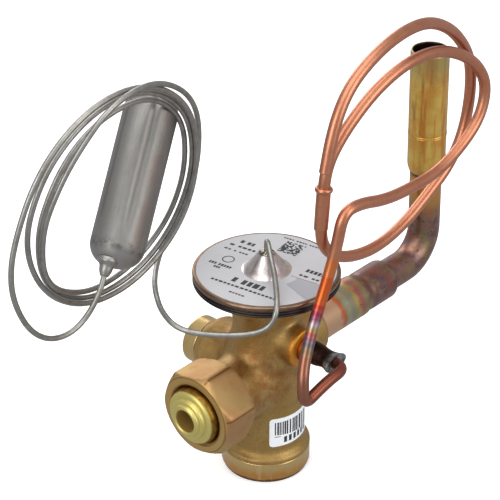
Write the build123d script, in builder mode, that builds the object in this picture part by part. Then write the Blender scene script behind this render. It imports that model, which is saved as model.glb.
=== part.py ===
"""Thermostatic expansion valve: forged four-port body, welded diaphragm head, coiled capillary and bulb.

Millimetres, +Z up. The origin is the centre of the base face, on the valve axis. The inlet nut points
to -X, the outlet tube to +X, the setting port to +Y and the pressure equaliser port to -Y.
"""
import os
from math import cos, radians, sin, tan

from build123d import *

# ---------------------------------------------------------------- driving dimensions
# forged body
base_d = 25.4            # machined band at the foot
base_h = 7.5
foot_h = 0.9             # small recess under the band
foot_step = 0.5
column_d = 22.2
column_top_z = 37.0      # the column starts to narrow towards the neck
neck_d = 18.6
neck_z = 46.5
shoulder_d = 21.2
body_h = 57.0
forging_blend = 1.2

# ports
inlet_z = 30.1
setting_z = 29.7
outlet_z = 36.6
equaliser_z = 43.7
inlet_boss_d = 19.0
inlet_boss_x = 16.6
setting_boss_d = 15.2
setting_boss_y = 21.0
outlet_boss_d = 17.2
outlet_boss_x = 17.4
equaliser_boss_d = 11.4
equaliser_boss_y = 14.1
boss_edge = 0.8

# chambers inside the body
chamber_d = 15.0
chamber_top_z = 32.5
web_t = 2.7              # web that carries the seat
outlet_chamber_d = 10.0
outlet_chamber_top_z = 40.5
outlet_port_d = 6.0
outlet_bore_d = 8.4
outlet_bore_x = 10.0
guide_wall_t = 5.5
balance_chamber_d = 14.0
balance_drilling_d = 2.4   # from the equaliser port up to the balance chamber
balance_drilling_y = 4.0
hub_socket_depth = 6.0
gap = 0.05               # clearance of a piece fixed in its seat
running_gap = 0.06       # clearance of a piece that turns or slides

# bottom plug
plug_d = 18.0
plug_t = 5.0
plug_seal_t = 0.5
spanner_hole_d = 2.4
spanner_hole_offset = 4.6

# inlet: spigot, swivel nut and nose
spigot_d = 12.5
spigot_end_x = 21.0
inlet_bore_d = 8.4
nut_af = 23.8
nut_back_x = 17.2
nut_front_x = 29.0
nut_wall = 3.0
nut_thread_d = 17.3
nut_thread_relief_d = 18.6
nut_chamfer_d = 23.0
nut_turn = 47.0          # how far the nut is turned from a corner pointing to +Y
nut_front_cone = 1.2     # length of the turned cone at the front, and at the back
nut_back_cone = 0.5
nut_corner_rise = 1.8    # how far a corner stands over a flat
nose_d = 15.5
nose_shoulder_x = 31.0
nose_round = 1.4
nose_collar_d = 11.2
nose_collar_x = 32.3
nose_lip_d = 8.8
nose_tip_x = 33.2
nose_hole_d = 6.6
nose_tail_d = 8.4
nose_tail_l = 3.0
strainer_l = 8.0
strainer_wall = 0.5
strainer_slots = 8
strainer_slot_w = 0.9
strainer_slot_reach = 4.0
strainer_end_r = 2.4

# setting spindle, gland and seal cap
spindle_d = 5.0
nose_contact_r = 0.9     # spindle cone radius where it meets the carrier
nose_tip_r = 0.2
spindle_end_y = 17.0
spindle_head_d = 4.2
spindle_head_l = 1.6
slot_w = 0.9
slot_depth = 1.0
packing_y = 10.6
packing_l = 1.4
packing_od = 8.0
packing_round = 0.4
gland_od = 8.2
gland_l = 2.8
gland_slot_w = 0.8
cap_bore_d = 10.0        # threaded bore for the cap
cap_bore_y = 15.2
cap_d = 14.1
cap_l = 5.0
cap_gap = 0.35
cap_neck_l = 5.0
cap_neck_id = 7.2
cap_hollow_y = 23.6
cap_seal_d = 12.4

# spring, carrier, cone and seat
carrier_floor_z = 7.8
carrier_floor_t = 1.2
carrier_wall = 0.7
window_top_gap = 0.05
window_top_land = 1.0
window_w = 5.6
window_floor_z = 22.0
spring_wire_d = 1.3
spring_d = 11.6          # outside
spring_turns = 5
spring_seat_gap = 0.05
cone_plate_d = 12.6
cone_plate_z = 25.6
cone_plate_t = 1.6
cone_pilot_d = 8.6
cone_pilot_l = 2.0
cone_stem_d = 5.0
cone_base_r = 3.4
cone_tip_r = 1.4
seat_flange_d = 11.0
seat_flange_t = 1.2
seat_barrel_d = 8.0
orifice_d = 5.0
seat_gap = 0.1
push_rod_d = 2.5

# diaphragm head
head_d = 40.4
head_rise = 6.2          # top of the cover over the body
cover_t = 1.3
diaphragm_t = 0.2
diaphragm_d = 39.4
head_lower_t = 2.2
head_hub_d = 15.9
head_hub_bore_d = 8.0
head_recess_d = 25.0
head_recess_depth = 2.1
rim_groove = 0.45
charge_space_d = 34.0
charge_space_h = 0.55
label_slit_angle = 28.0   # where the joint of the round label lies
corrugation_margin = 1.5
corrugation_pitch = 2.0
corrugation_h = 0.35
dome_d = 13.4
dome_top_d = 5.0
dome_h = 4.0
dome_wall = 0.9
label_d = 38.2
label_t = 0.12
label_slit = 0.3
thrust_plate_d = 20.0
thrust_plate_t = 1.2
thrust_hub_d = 5.0
thrust_hub_l = 2.6
thrust_gap = 0.05
braze_ring_d = 4.3
braze_ring_h = 0.9

# outlet stub and elbow
stub_d = 12.7
stub_wall = 0.9
stub_socket_depth = 5.0
stub_kink_x = 39.6
stub_kink_l = 1.4
sleeve_d = 12.1
stub_end_x = 52.8
tube_d = 9.53            # 3/8 in tube
tube_wall = 0.8
tube_overlap = 8.0
elbow_foot_x = 72.4      # line of the upright leg, which leans back a little
elbow_top_x = 70.1
elbow_r = 15.0
swage_z = 65.2
swage_taper = 2.6
swage_d = 11.3
tube_top_z = 105.0

# equaliser stub and line
eq_stub_d = 6.35
eq_stub_wall = 0.8
eq_stub_depth = 4.0
eq_flat_y = 20.0         # the stub is pinched beyond here
eq_mouth_y = 25.0
eq_mouth_w = 8.6
eq_mouth_h = 4.4
eq_mouth_turn = 0.0
line_d = 3.18            # 1/8 in tube
line_bore_d = 1.8
line_bore_l = 8.0
line_end_dir = (-1.0, 0.0, -13.4)   # the line comes down into its socket along this
bead_start = (-0.25, -19.5, 95.2)
bead_d = 5.2
bead_l = 1.3
socket_d = 4.1
socket_l = 10.8
tail_insert = 4.0

# capillary and bulb
capillary_d = 1.5
bulb_d = 15.4
bulb_wall = 0.9
bulb_corner_r = 6.2
bulb_foot = (-37.6, 20.5, 72.0)   # centre of the end with the nipple
bulb_head = (-9.4, 33.0, 109.0)
bulb_groove_start = 9.0
bulb_groove_turn = 32.0  # from the nipple, round the bulb
bulb_groove_r = 6.0
nipple_side = (-2.75, -0.9, 2.09)  # the nipple sits this way off the axis
nipple_offset = 3.6
bulb_groove_depth = 0.9
nipple_d = 3.4
nipple_l = 3.0
coil_x = -31.3
coil_y = 24.0
coil_z = 88.9
coil_back_y = 25.5
coil_pitch = -1.9        # the winding comes forward by this each turn
coil_lean = 3.0          # and its top leans forward
skew_x = 0.928           # sideways drift of the turns as they come forward
skew_z = 0.737

# paper label round the column
body_label_w = 9.6
body_label_h = 9.4
body_label_z = 9.4
body_label_t = 0.12
body_label_angle = -62.0

os.makedirs("parts", exist_ok=True)


def finish(builder, name):
    """Label a finished piece and write it."""
    builder.part.label = name
    export_step(builder.part, f"parts/{name}.step")


def tube_path(points, ease=0.45, least=0.0):
    """Straight runs through the points, joined by arcs as large as the two runs allow."""
    corners = [Vector(*p) for p in points]
    radii = []
    for before, here, after in zip(corners, corners[1:], corners[2:]):
        turn = (here - before).get_angle(after - here)
        run = min((here - before).length, (after - here).length)
        radii.append(max(least, ease * run / tan(radians(turn) / 2)))
    with BuildLine() as path:
        FilletPolyline(*corners, radius=radii)
    return path


# ---------------------------------------------------------------- forged body
web_top_z = chamber_top_z + web_t
balance_floor_z = outlet_chamber_top_z + guide_wall_t
hub_socket_z = body_h - hub_socket_depth
spindle_bore_r = spindle_d / 2 + running_gap
port_start_x = seat_barrel_d / 2 + 0.8
stub_socket_x = outlet_boss_x - stub_socket_depth
packing_face_y = packing_y - 0.1

with BuildPart() as valve_body:
    with BuildSketch(Plane.XZ) as body_half:
        with BuildLine():
            Polyline(
                (0, 0),
                (base_d / 2 - foot_step, 0),
                (base_d / 2 - foot_step, foot_h),
                (base_d / 2, foot_h),
                (base_d / 2, base_h),
                (column_d / 2, base_h + 0.5),
                (column_d / 2, column_top_z),
            )
            Spline(
                (column_d / 2, column_top_z),
                (neck_d / 2, neck_z),
                (shoulder_d / 2, body_h - 1),
                tangents=((0, 1), (0.25, 1)),
            )
            Polyline((shoulder_d / 2, body_h - 1), (shoulder_d / 2, body_h), (0, body_h), (0, 0))
        make_face()
    revolve(axis=Axis.Z)
    # the four bosses grow out of the column
    with BuildSketch(Plane.YZ.offset(-inlet_boss_x)):
        with Locations((0, inlet_z)):
            Circle(inlet_boss_d / 2)
    extrude(amount=inlet_boss_x)
    with BuildSketch(Plane.XZ.offset(-setting_boss_y)):
        with Locations((0, setting_z)):
            Circle(setting_boss_d / 2)
    extrude(amount=setting_boss_y)
    with BuildSketch(Plane.YZ):
        with Locations((0, outlet_z)):
            Circle(outlet_boss_d / 2)
    extrude(amount=outlet_boss_x)
    with BuildSketch(Plane.XZ):
        with Locations((0, equaliser_z)):
            Circle(equaliser_boss_d / 2)
    extrude(amount=equaliser_boss_y)
    boss_ends = ShapeList([
        valve_body.faces().sort_by(Axis.X)[0],
        valve_body.faces().sort_by(Axis.X)[-1],
        valve_body.faces().sort_by(Axis.Y)[0],
        valve_body.faces().sort_by(Axis.Y)[-1],
    ])
    boss_roots = valve_body.edges().filter_by(
        lambda edge: edge.geom_type in (GeomType.BSPLINE, GeomType.OTHER) and edge.center().Z < neck_z
    )
    fillet(boss_roots, forging_blend)
    boss_rims = valve_body.edges().filter_by(GeomType.CIRCLE).filter_by(
        lambda edge: any((edge.arc_center - face.center()).length < 0.01 for face in boss_ends)
    )
    fillet(boss_rims, boss_edge)
    # spigot that carries the swivel nut
    with BuildSketch(Plane.YZ.offset(-spigot_end_x)):
        with Locations((0, inlet_z)):
            Circle(spigot_d / 2)
    extrude(amount=spigot_end_x - inlet_boss_x + 1)
    # chambers, from the foot up
    with BuildSketch():
        Circle(plug_d / 2 + gap)
    extrude(amount=plug_t + plug_seal_t, mode=Mode.SUBTRACT)
    with BuildSketch(Plane.XY.offset(plug_t)):
        Circle(chamber_d / 2)
    extrude(amount=chamber_top_z - plug_t, mode=Mode.SUBTRACT)
    with BuildSketch(Plane.XY.offset(chamber_top_z)):
        Circle(seat_barrel_d / 2 + gap)
    extrude(amount=web_t, mode=Mode.SUBTRACT)
    with BuildSketch(Plane.XY.offset(web_top_z)):
        Circle(outlet_chamber_d / 2)
    extrude(amount=outlet_chamber_top_z - web_top_z, mode=Mode.SUBTRACT)
    with BuildSketch(Plane.XY.offset(outlet_chamber_top_z)):
        Circle(push_rod_d / 2 + running_gap)
    extrude(amount=guide_wall_t, mode=Mode.SUBTRACT)
    with BuildSketch(Plane.XY.offset(balance_floor_z)):
        Circle(balance_chamber_d / 2)
    extrude(amount=body_h - balance_floor_z, mode=Mode.SUBTRACT)
    with BuildSketch(Plane.XY.offset(hub_socket_z)):
        Circle(head_hub_d / 2 + gap)
    extrude(amount=hub_socket_depth, mode=Mode.SUBTRACT)
    # inlet bore
    with BuildSketch(Plane.YZ.offset(-spigot_end_x)):
        with Locations((0, inlet_z)):
            Circle(inlet_bore_d / 2 + gap)
    extrude(amount=spigot_end_x - chamber_d / 2 + 1, mode=Mode.SUBTRACT)
    # outlet bore: a small inner port, then the bore, then the socket for the stub
    with BuildSketch(Plane.YZ.offset(port_start_x)):
        with Locations((0, outlet_z)):
            Circle(outlet_port_d / 2)
    extrude(amount=outlet_boss_x - port_start_x, mode=Mode.SUBTRACT)
    with BuildSketch(Plane.YZ.offset(outlet_bore_x)):
        with Locations((0, outlet_z)):
            Circle(outlet_bore_d / 2)
    extrude(amount=outlet_boss_x - outlet_bore_x, mode=Mode.SUBTRACT)
    with BuildSketch(Plane.YZ.offset(stub_socket_x)):
        with Locations((0, outlet_z)):
            Circle(stub_d / 2 + gap)
    extrude(amount=stub_socket_depth, mode=Mode.SUBTRACT)
    # setting port: spindle bore, packing and gland bore, threaded bore for the cap
    for radius, start_y in (
        (spindle_bore_r, chamber_d / 2 - 1),
        (gland_od / 2 + gap, packing_face_y),
        (cap_bore_d / 2 + gap, cap_bore_y),
    ):
        with BuildSketch(Plane.XZ.offset(-setting_boss_y)):
            with Locations((0, setting_z)):
                Circle(radius)
        extrude(amount=setting_boss_y - start_y, mode=Mode.SUBTRACT)
    # equaliser port: stub socket, cross drilling, and the drilling up into the space under the diaphragm
    with BuildSketch(Plane.XZ.offset(equaliser_boss_y - eq_stub_depth)):
        with Locations((0, equaliser_z)):
            Circle(eq_stub_d / 2 + gap)
    extrude(amount=eq_stub_depth, mode=Mode.SUBTRACT)
    with BuildSketch(Plane.XZ.offset(balance_drilling_y)):
        with Locations((0, equaliser_z)):
            Circle(balance_drilling_d / 2)
    extrude(amount=equaliser_boss_y - balance_drilling_y, mode=Mode.SUBTRACT)
    with BuildSketch(Plane.XY.offset(equaliser_z)):
        with Locations((0, -balance_drilling_y - balance_drilling_d / 2)):
            Circle(balance_drilling_d / 2)
    extrude(amount=balance_floor_z - equaliser_z, mode=Mode.SUBTRACT)
finish(valve_body, "valve_body")

# ---------------------------------------------------------------- bottom plug and its seal
with BuildPart() as bottom_plug:
    with BuildSketch():
        Circle(plug_d / 2)
    extrude(amount=plug_t)
    with BuildSketch(Plane.XY):
        with Locations((-spanner_hole_offset, 0), (spanner_hole_offset, 0)):
            Circle(spanner_hole_d / 2)
    extrude(amount=plug_t / 2, mode=Mode.SUBTRACT)
finish(bottom_plug, "bottom_plug")

with BuildPart() as plug_seal:
    with BuildSketch(Plane.XY.offset(plug_t)):
        Circle(plug_d / 2)
        Circle(chamber_d / 2, mode=Mode.SUBTRACT)
    extrude(amount=plug_seal_t)
finish(plug_seal, "plug_seal")

# ---------------------------------------------------------------- swivel nut, nose and strainer
with BuildPart() as inlet_nut:
    with BuildSketch(Plane.YZ.offset(-nut_front_x)):
        with Locations((0, inlet_z)):
            RegularPolygon(nut_af / 2, 6, major_radius=False, rotation=nut_turn)
    extrude(amount=nut_front_x - nut_back_x)
    # both ends are turned to a cone that trims the corners
    with BuildSketch(Plane.XZ) as nut_turning:
        with BuildLine():
            Polyline(
                (-nut_front_x, inlet_z),
                (-nut_front_x, inlet_z + nut_chamfer_d / 2),
                (-nut_front_x + nut_front_cone, inlet_z + nut_af / 2 + nut_corner_rise),
                (-nut_back_x - nut_back_cone, inlet_z + nut_af / 2 + nut_corner_rise),
                (-nut_back_x, inlet_z + nut_af / 2),
                (-nut_back_x, inlet_z),
                close=True,
            )
        make_face()
    revolve(axis=Axis((0, 0, inlet_z), (1, 0, 0)), mode=Mode.INTERSECT)
    with BuildSketch(Plane.YZ.offset(-nut_front_x)):
        with Locations((0, inlet_z)):
            Circle(nut_thread_d / 2)
    extrude(amount=nut_front_x - nut_back_x - nut_wall, mode=Mode.SUBTRACT)
    with BuildSketch(Plane.YZ.offset(-nut_back_x)):
        with Locations((0, inlet_z)):
            Circle(spigot_d / 2 + running_gap)
    extrude(amount=-nut_wall, mode=Mode.SUBTRACT)
    # lead-in at the mouth
    mouth = inlet_nut.edges().filter_by(GeomType.CIRCLE).group_by(Axis.X)[0].sort_by(SortBy.RADIUS)[0]
    chamfer(mouth, (nut_thread_relief_d - nut_thread_d) / 2)
finish(inlet_nut, "inlet_nut")

nose_back_x = spigot_end_x
with BuildPart() as inlet_nose:
    with BuildSketch(Plane.XZ) as nose_half:
        with BuildLine():
            Polyline(
                (-nose_back_x, inlet_z + nose_hole_d / 2),
                (-nose_tip_x + 0.4, inlet_z + nose_hole_d / 2),
                (-nose_tip_x, inlet_z + nose_hole_d / 2 + 0.4),
                (-nose_tip_x, inlet_z + nose_lip_d / 2),
                (-nose_collar_x, inlet_z + nose_lip_d / 2 + 0.3),
                (-nose_collar_x, inlet_z + nose_collar_d / 2),
                (-nose_shoulder_x, inlet_z + nose_collar_d / 2 + 0.4),
                (-nose_shoulder_x, inlet_z + nose_d / 2 - nose_round),
            )
            RadiusArc(
                (-nose_shoulder_x, inlet_z + nose_d / 2 - nose_round),
                (-nose_shoulder_x + nose_round, inlet_z + nose_d / 2),
                -nose_round,
            )
            Polyline(
                (-nose_shoulder_x + nose_round, inlet_z + nose_d / 2),
                (-nose_back_x, inlet_z + nose_d / 2),
                (-nose_back_x, inlet_z + nose_tail_d / 2),
                (-nose_back_x + nose_tail_l, inlet_z + nose_tail_d / 2),
                (-nose_back_x + nose_tail_l, inlet_z + nose_hole_d / 2),
                (-nose_back_x, inlet_z + nose_hole_d / 2),
            )
        make_face()
    revolve(axis=Axis((0, 0, inlet_z), (1, 0, 0)))
finish(inlet_nose, "inlet_nose")

strainer_front_x = nose_back_x - nose_tail_l - 0.1
with BuildPart() as inlet_strainer:
    with BuildSketch(Plane.XZ):
        with BuildLine():
            Polyline(
                (-strainer_front_x, inlet_z + inlet_bore_d / 2),
                (-strainer_front_x + 1, inlet_z + inlet_bore_d / 2),
                (-strainer_front_x + strainer_l, inlet_z + strainer_end_r),
                (-strainer_front_x + strainer_l, inlet_z),
                (-strainer_front_x + strainer_l - strainer_wall, inlet_z),
                (-strainer_front_x + strainer_l - strainer_wall, inlet_z + strainer_end_r - strainer_wall),
                (-strainer_front_x + 1 - strainer_wall, inlet_z + inlet_bore_d / 2 - strainer_wall),
                (-strainer_front_x, inlet_z + inlet_bore_d / 2 - strainer_wall),
                close=True,
            )
        make_face()
    revolve(axis=Axis((0, 0, inlet_z), (1, 0, 0)))
    with BuildSketch(Plane.YZ.offset(-strainer_front_x + strainer_l)):
        with Locations((0, inlet_z)):
            with PolarLocations(strainer_end_r + 1.0, strainer_slots):
                Rectangle(strainer_slot_reach, strainer_slot_w)
    extrude(amount=-strainer_l + 2, mode=Mode.SUBTRACT)
finish(inlet_strainer, "inlet_strainer")

# ---------------------------------------------------------------- setting spindle, packing, gland and cap
carrier_od = chamber_d - 2 * running_gap
contact_y = carrier_od / 2
tip_y = contact_y - nose_contact_r + nose_tip_r
shaft_y = contact_y + spindle_d / 2 - nose_contact_r
setting_axis = Axis((0, 0, setting_z), (0, 1, 0))

with BuildPart() as setting_spindle:
    with BuildSketch(Plane.YZ):
        with BuildLine():
            Polyline(
                (tip_y, setting_z),
                (tip_y, setting_z + nose_tip_r),
                (shaft_y, setting_z + spindle_d / 2),
                (spindle_end_y - spindle_head_l, setting_z + spindle_d / 2),
                (spindle_end_y - spindle_head_l, setting_z + spindle_head_d / 2),
                (spindle_end_y, setting_z + spindle_head_d / 2),
                (spindle_end_y, setting_z),
                close=True,
            )
        make_face()
    revolve(axis=setting_axis)
    with BuildSketch(Plane.XZ.offset(-spindle_end_y)):
        with Locations((0, setting_z)):
            Rectangle(spindle_head_d + 1, slot_w)
    extrude(amount=slot_depth, mode=Mode.SUBTRACT)
finish(setting_spindle, "setting_spindle")

with BuildPart() as spindle_packing:
    with BuildSketch(Plane.XZ.offset(-packing_y - packing_l)):
        with Locations((0, setting_z)):
            Circle(packing_od / 2)
            Circle(spindle_bore_r, mode=Mode.SUBTRACT)
    extrude(amount=packing_l)
    fillet(spindle_packing.edges(), packing_round)
finish(spindle_packing, "spindle_packing")

gland_y = packing_y + packing_l + 0.1
with BuildPart() as gland_nut:
    with BuildSketch(Plane.XZ.offset(-gland_y - gland_l)):
        with Locations((0, setting_z)):
            Circle(gland_od / 2)
            Circle(spindle_bore_r, mode=Mode.SUBTRACT)
    extrude(amount=gland_l)
    with BuildSketch(Plane.XZ.offset(-gland_y - gland_l)):
        with Locations((0, setting_z)):
            Rectangle(gland_od + 1, gland_slot_w)
    extrude(amount=gland_slot_w, mode=Mode.SUBTRACT)
finish(gland_nut, "gland_nut")

cap_flange_y = setting_boss_y + cap_gap
with BuildPart() as setting_cap:
    with BuildSketch(Plane.YZ):
        with BuildLine():
            Polyline(
                (cap_flange_y - cap_neck_l, setting_z + cap_neck_id / 2),
                (cap_flange_y - cap_neck_l, setting_z + cap_bore_d / 2),
                (cap_flange_y, setting_z + cap_bore_d / 2),
                (cap_flange_y, setting_z + cap_d / 2),
                (cap_flange_y + cap_l - 0.5, setting_z + cap_d / 2),
                (cap_flange_y + cap_l, setting_z + cap_d / 2 - 0.5),
                (cap_flange_y + cap_l, setting_z),
                (cap_hollow_y, setting_z),
                (cap_hollow_y, setting_z + cap_neck_id / 2),
                close=True,
            )
        make_face()
    revolve(axis=setting_axis)
finish(setting_cap, "setting_cap")

with BuildPart() as cap_seal:
    with BuildSketch(Plane.XZ.offset(-cap_flange_y)):
        with Locations((0, setting_z)):
            Circle(cap_seal_d / 2)
            Circle(cap_bore_d / 2 + 2 * gap, mode=Mode.SUBTRACT)
    extrude(amount=cap_gap)
finish(cap_seal, "cap_seal")

# ---------------------------------------------------------------- spring carrier, spring, cone and seat
window_top_z = setting_z + nose_contact_r + window_top_gap
carrier_top_z = window_top_z + window_top_land
carrier_floor_top = carrier_floor_z + carrier_floor_t

with BuildPart() as spring_carrier:
    with BuildSketch(Plane.XY.offset(carrier_floor_z)):
        Circle(carrier_od / 2)
    extrude(amount=carrier_top_z - carrier_floor_z)
    with BuildSketch(Plane.XY.offset(carrier_floor_top)):
        Circle(carrier_od / 2 - carrier_wall)
    extrude(amount=carrier_top_z - carrier_floor_top, mode=Mode.SUBTRACT)
    # windows all round: one takes the spindle, the others let the flow through
    with BuildSketch(Plane.XY.offset(window_floor_z)):
        with PolarLocations(carrier_od / 2, 4, start_angle=90):
            Rectangle(4 * carrier_wall, window_w)
    extrude(amount=window_top_z - window_floor_z, mode=Mode.SUBTRACT)
finish(spring_carrier, "spring_carrier")

wire_r = spring_wire_d / 2
spring_bottom_z = carrier_floor_top + spring_seat_gap
spring_top_z = cone_plate_z - spring_seat_gap
spring_mean_r = (spring_d - spring_wire_d) / 2
with BuildPart() as setting_spring:
    with BuildLine() as spring_line:
        Helix(
            pitch=(spring_top_z - spring_bottom_z - spring_wire_d) / spring_turns,
            height=spring_top_z - spring_bottom_z - spring_wire_d,
            radius=spring_mean_r,
            center=(0, 0, spring_bottom_z + wire_r),
        )
    with BuildSketch(Plane(spring_line.line @ 0, z_dir=spring_line.line % 0)):
        Circle(wire_r)
    sweep(is_frenet=True)
finish(setting_spring, "setting_spring")

cone_tip_z = chamber_top_z - seat_flange_t - seat_gap + orifice_d / 2 - cone_tip_r
cone_base_z = cone_tip_z - (cone_base_r - cone_tip_r)
with BuildPart() as valve_cone:
    with BuildSketch(Plane.XZ):
        with BuildLine():
            Polyline(
                (0, cone_plate_z - cone_pilot_l),
                (cone_pilot_d / 2, cone_plate_z - cone_pilot_l),
                (cone_pilot_d / 2, cone_plate_z),
                (cone_plate_d / 2, cone_plate_z),
                (cone_plate_d / 2, cone_plate_z + cone_plate_t),
                (cone_stem_d / 2, cone_plate_z + cone_plate_t),
                (cone_stem_d / 2, cone_base_z - 0.6),
                (cone_base_r, cone_base_z - 0.6),
                (cone_base_r, cone_base_z),
                (cone_tip_r, cone_tip_z),
                (0, cone_tip_z),
                close=True,
            )
        make_face()
    revolve(axis=Axis.Z)
finish(valve_cone, "valve_cone")

with BuildPart() as valve_seat:
    with BuildSketch(Plane.XY.offset(chamber_top_z - seat_flange_t)):
        Circle(seat_flange_d / 2)
    extrude(amount=seat_flange_t)
    with BuildSketch(Plane.XY.offset(chamber_top_z)):
        Circle(seat_barrel_d / 2)
    extrude(amount=web_t)
    with BuildSketch(Plane.XY.offset(chamber_top_z - seat_flange_t)):
        Circle(orifice_d / 2)
    extrude(amount=seat_flange_t + web_t, mode=Mode.SUBTRACT)
finish(valve_seat, "valve_seat")

# ---------------------------------------------------------------- push rod and thrust plate
head_top_z = body_h + head_rise
flange_z = head_top_z - cover_t - diaphragm_t
head_recess_z = flange_z - head_recess_depth
thrust_top_z = flange_z - thrust_gap
thrust_hub_z = thrust_top_z - thrust_plate_t - thrust_hub_l

with BuildPart() as push_rod:
    with BuildSketch(Plane.XY.offset(cone_tip_z)):
        Circle(push_rod_d / 2)
    extrude(amount=thrust_hub_z - cone_tip_z)
finish(push_rod, "push_rod")

with BuildPart() as thrust_plate:
    with BuildSketch(Plane.XY.offset(thrust_hub_z)):
        Circle(thrust_hub_d / 2)
    extrude(amount=thrust_hub_l)
    with BuildSketch(Plane.XY.offset(thrust_top_z - thrust_plate_t)):
        Circle(thrust_plate_d / 2)
    extrude(amount=thrust_plate_t)
    fillet(thrust_plate.edges().group_by(Axis.Z)[-1], thrust_plate_t / 3)
finish(thrust_plate, "thrust_plate")

# ---------------------------------------------------------------- diaphragm head
rim_r = head_d / 2
rim_bottom_z = flange_z - head_lower_t
groove_z = flange_z - head_lower_t / 2
with BuildPart() as head_base:
    with BuildSketch(Plane.XZ):
        with BuildLine():
            Polyline(
                (head_hub_bore_d / 2, hub_socket_z),
                (head_hub_d / 2, hub_socket_z),
                (head_hub_d / 2, body_h),
                (shoulder_d / 2 - 0.4, body_h),
                (rim_r - 2.2, rim_bottom_z - 0.3),
                (rim_r - 0.5, rim_bottom_z),
                (rim_r, rim_bottom_z + 0.5),
                (rim_r, groove_z - rim_groove),
                (rim_r - rim_groove, groove_z),
                (rim_r, groove_z + rim_groove),
                (rim_r, flange_z - 0.25),
                (rim_r - 0.25, flange_z),
                (head_recess_d / 2, flange_z),
                (head_recess_d / 2 - 1.2, head_recess_z),
                (head_hub_bore_d / 2, head_recess_z),
                close=True,
            )
        make_face()
    revolve(axis=Axis.Z)
finish(head_base, "head_base")

outer_corrugation_r = charge_space_d / 2 - corrugation_margin
corrugation_rs = [outer_corrugation_r - corrugation_pitch * k for k in (2, 1, 0)]
with BuildPart() as diaphragm:
    with BuildSketch(Plane.XZ):
        with BuildLine():
            Line((0, flange_z), (0, flange_z + diaphragm_t))
            lower = [(0, flange_z)]
            for r in corrugation_rs:
                lower += [(r - 0.8, flange_z), (r, flange_z + corrugation_h), (r + 0.8, flange_z)]
            lower.append((diaphragm_d / 2, flange_z))
            upper = [(r, z + diaphragm_t) for r, z in lower]
            Polyline(*lower)
            Polyline(*upper)
            Line(lower[-1], upper[-1])
        make_face()
    revolve(axis=Axis.Z)
finish(diaphragm, "diaphragm")

cover_z = flange_z + diaphragm_t
dome_top_z = head_top_z + dome_h
dome_floor_z = cover_z + charge_space_h
capillary_r = capillary_d / 2
with BuildPart() as head_cover:
    with BuildSketch(Plane.XZ):
        with BuildLine():
            Polyline(
                (rim_r - 0.25, cover_z),
                (rim_r, cover_z + 0.25),
                (rim_r, head_top_z - 0.4),
                (rim_r - 0.4, head_top_z),
                (dome_d / 2 + 0.5, head_top_z),
            )
            Spline(
                (dome_d / 2 + 0.5, head_top_z),
                (dome_d / 2 - 0.7, head_top_z + 0.8),
                (dome_top_d / 2, dome_top_z),
                tangents=((-1, 0.25), (-0.45, 1)),
            )
            Polyline(
                (dome_top_d / 2, dome_top_z),
                (capillary_r + gap, dome_top_z),
                (capillary_r + gap, dome_top_z - dome_wall),
                (dome_d / 2 - dome_wall - 0.9, dome_floor_z),
                (charge_space_d / 2, dome_floor_z),
                (charge_space_d / 2 + 0.5, cover_z),
                (rim_r - 0.25, cover_z),
            )
        make_face()
    revolve(axis=Axis.Z)
finish(head_cover, "head_cover")

with BuildPart() as head_label:
    with BuildSketch(Plane.XY.offset(head_top_z)):
        Circle(label_d / 2)
        Circle(dome_d / 2 + 0.6, mode=Mode.SUBTRACT)
        with Locations(Location((0, 0), label_slit_angle)):
            with Locations((label_d / 4, 0)):
                Rectangle(label_d / 2, label_slit, mode=Mode.SUBTRACT)
    extrude(amount=label_t)
finish(head_label, "head_label")

with BuildPart() as braze_ring:
    with BuildSketch(Plane.XZ):
        with BuildLine():
            Polyline(
                (capillary_r + gap, dome_top_z + braze_ring_h),
                (capillary_r + gap, dome_top_z),
                (braze_ring_d / 2, dome_top_z),
                (braze_ring_d / 2, dome_top_z + 0.25),
            )
            ThreePointArc(
                (braze_ring_d / 2, dome_top_z + 0.25),
                (braze_ring_d / 2 - 0.5, dome_top_z + 0.7),
                (capillary_r + gap, dome_top_z + braze_ring_h),
            )
        make_face()
    revolve(axis=Axis.Z)
finish(braze_ring, "braze_ring")

# ---------------------------------------------------------------- outlet stub and elbow tube
sleeve_start_x = stub_kink_x + stub_kink_l
tube_in_x = stub_end_x - tube_overlap
sleeve_bore_r = tube_d / 2 + gap
outlet_axis = Axis((0, 0, outlet_z), (1, 0, 0))
with BuildPart() as outlet_stub:
    with BuildSketch(Plane.XZ):
        with BuildLine():
            Polyline(
                (stub_socket_x, outlet_z + stub_d / 2 - stub_wall),
                (stub_socket_x, outlet_z + stub_d / 2),
                (stub_kink_x, outlet_z + stub_d / 2),
                (sleeve_start_x, outlet_z + sleeve_d / 2 - 0.3),
                (sleeve_start_x + stub_kink_l, outlet_z + sleeve_d / 2),
                (stub_end_x - 0.6, outlet_z + sleeve_d / 2),
                (stub_end_x, outlet_z + sleeve_d / 2 - 0.5),
                (stub_end_x, outlet_z + sleeve_bore_r),
                (tube_in_x, outlet_z + sleeve_bore_r),
                (tube_in_x, outlet_z + sleeve_bore_r - tube_wall),
                (sleeve_start_x, outlet_z + sleeve_bore_r - tube_wall),
                (stub_kink_x, outlet_z + stub_d / 2 - stub_wall),
                close=True,
            )
        make_face()
    revolve(axis=outlet_axis)
finish(outlet_stub, "outlet_stub")

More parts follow.
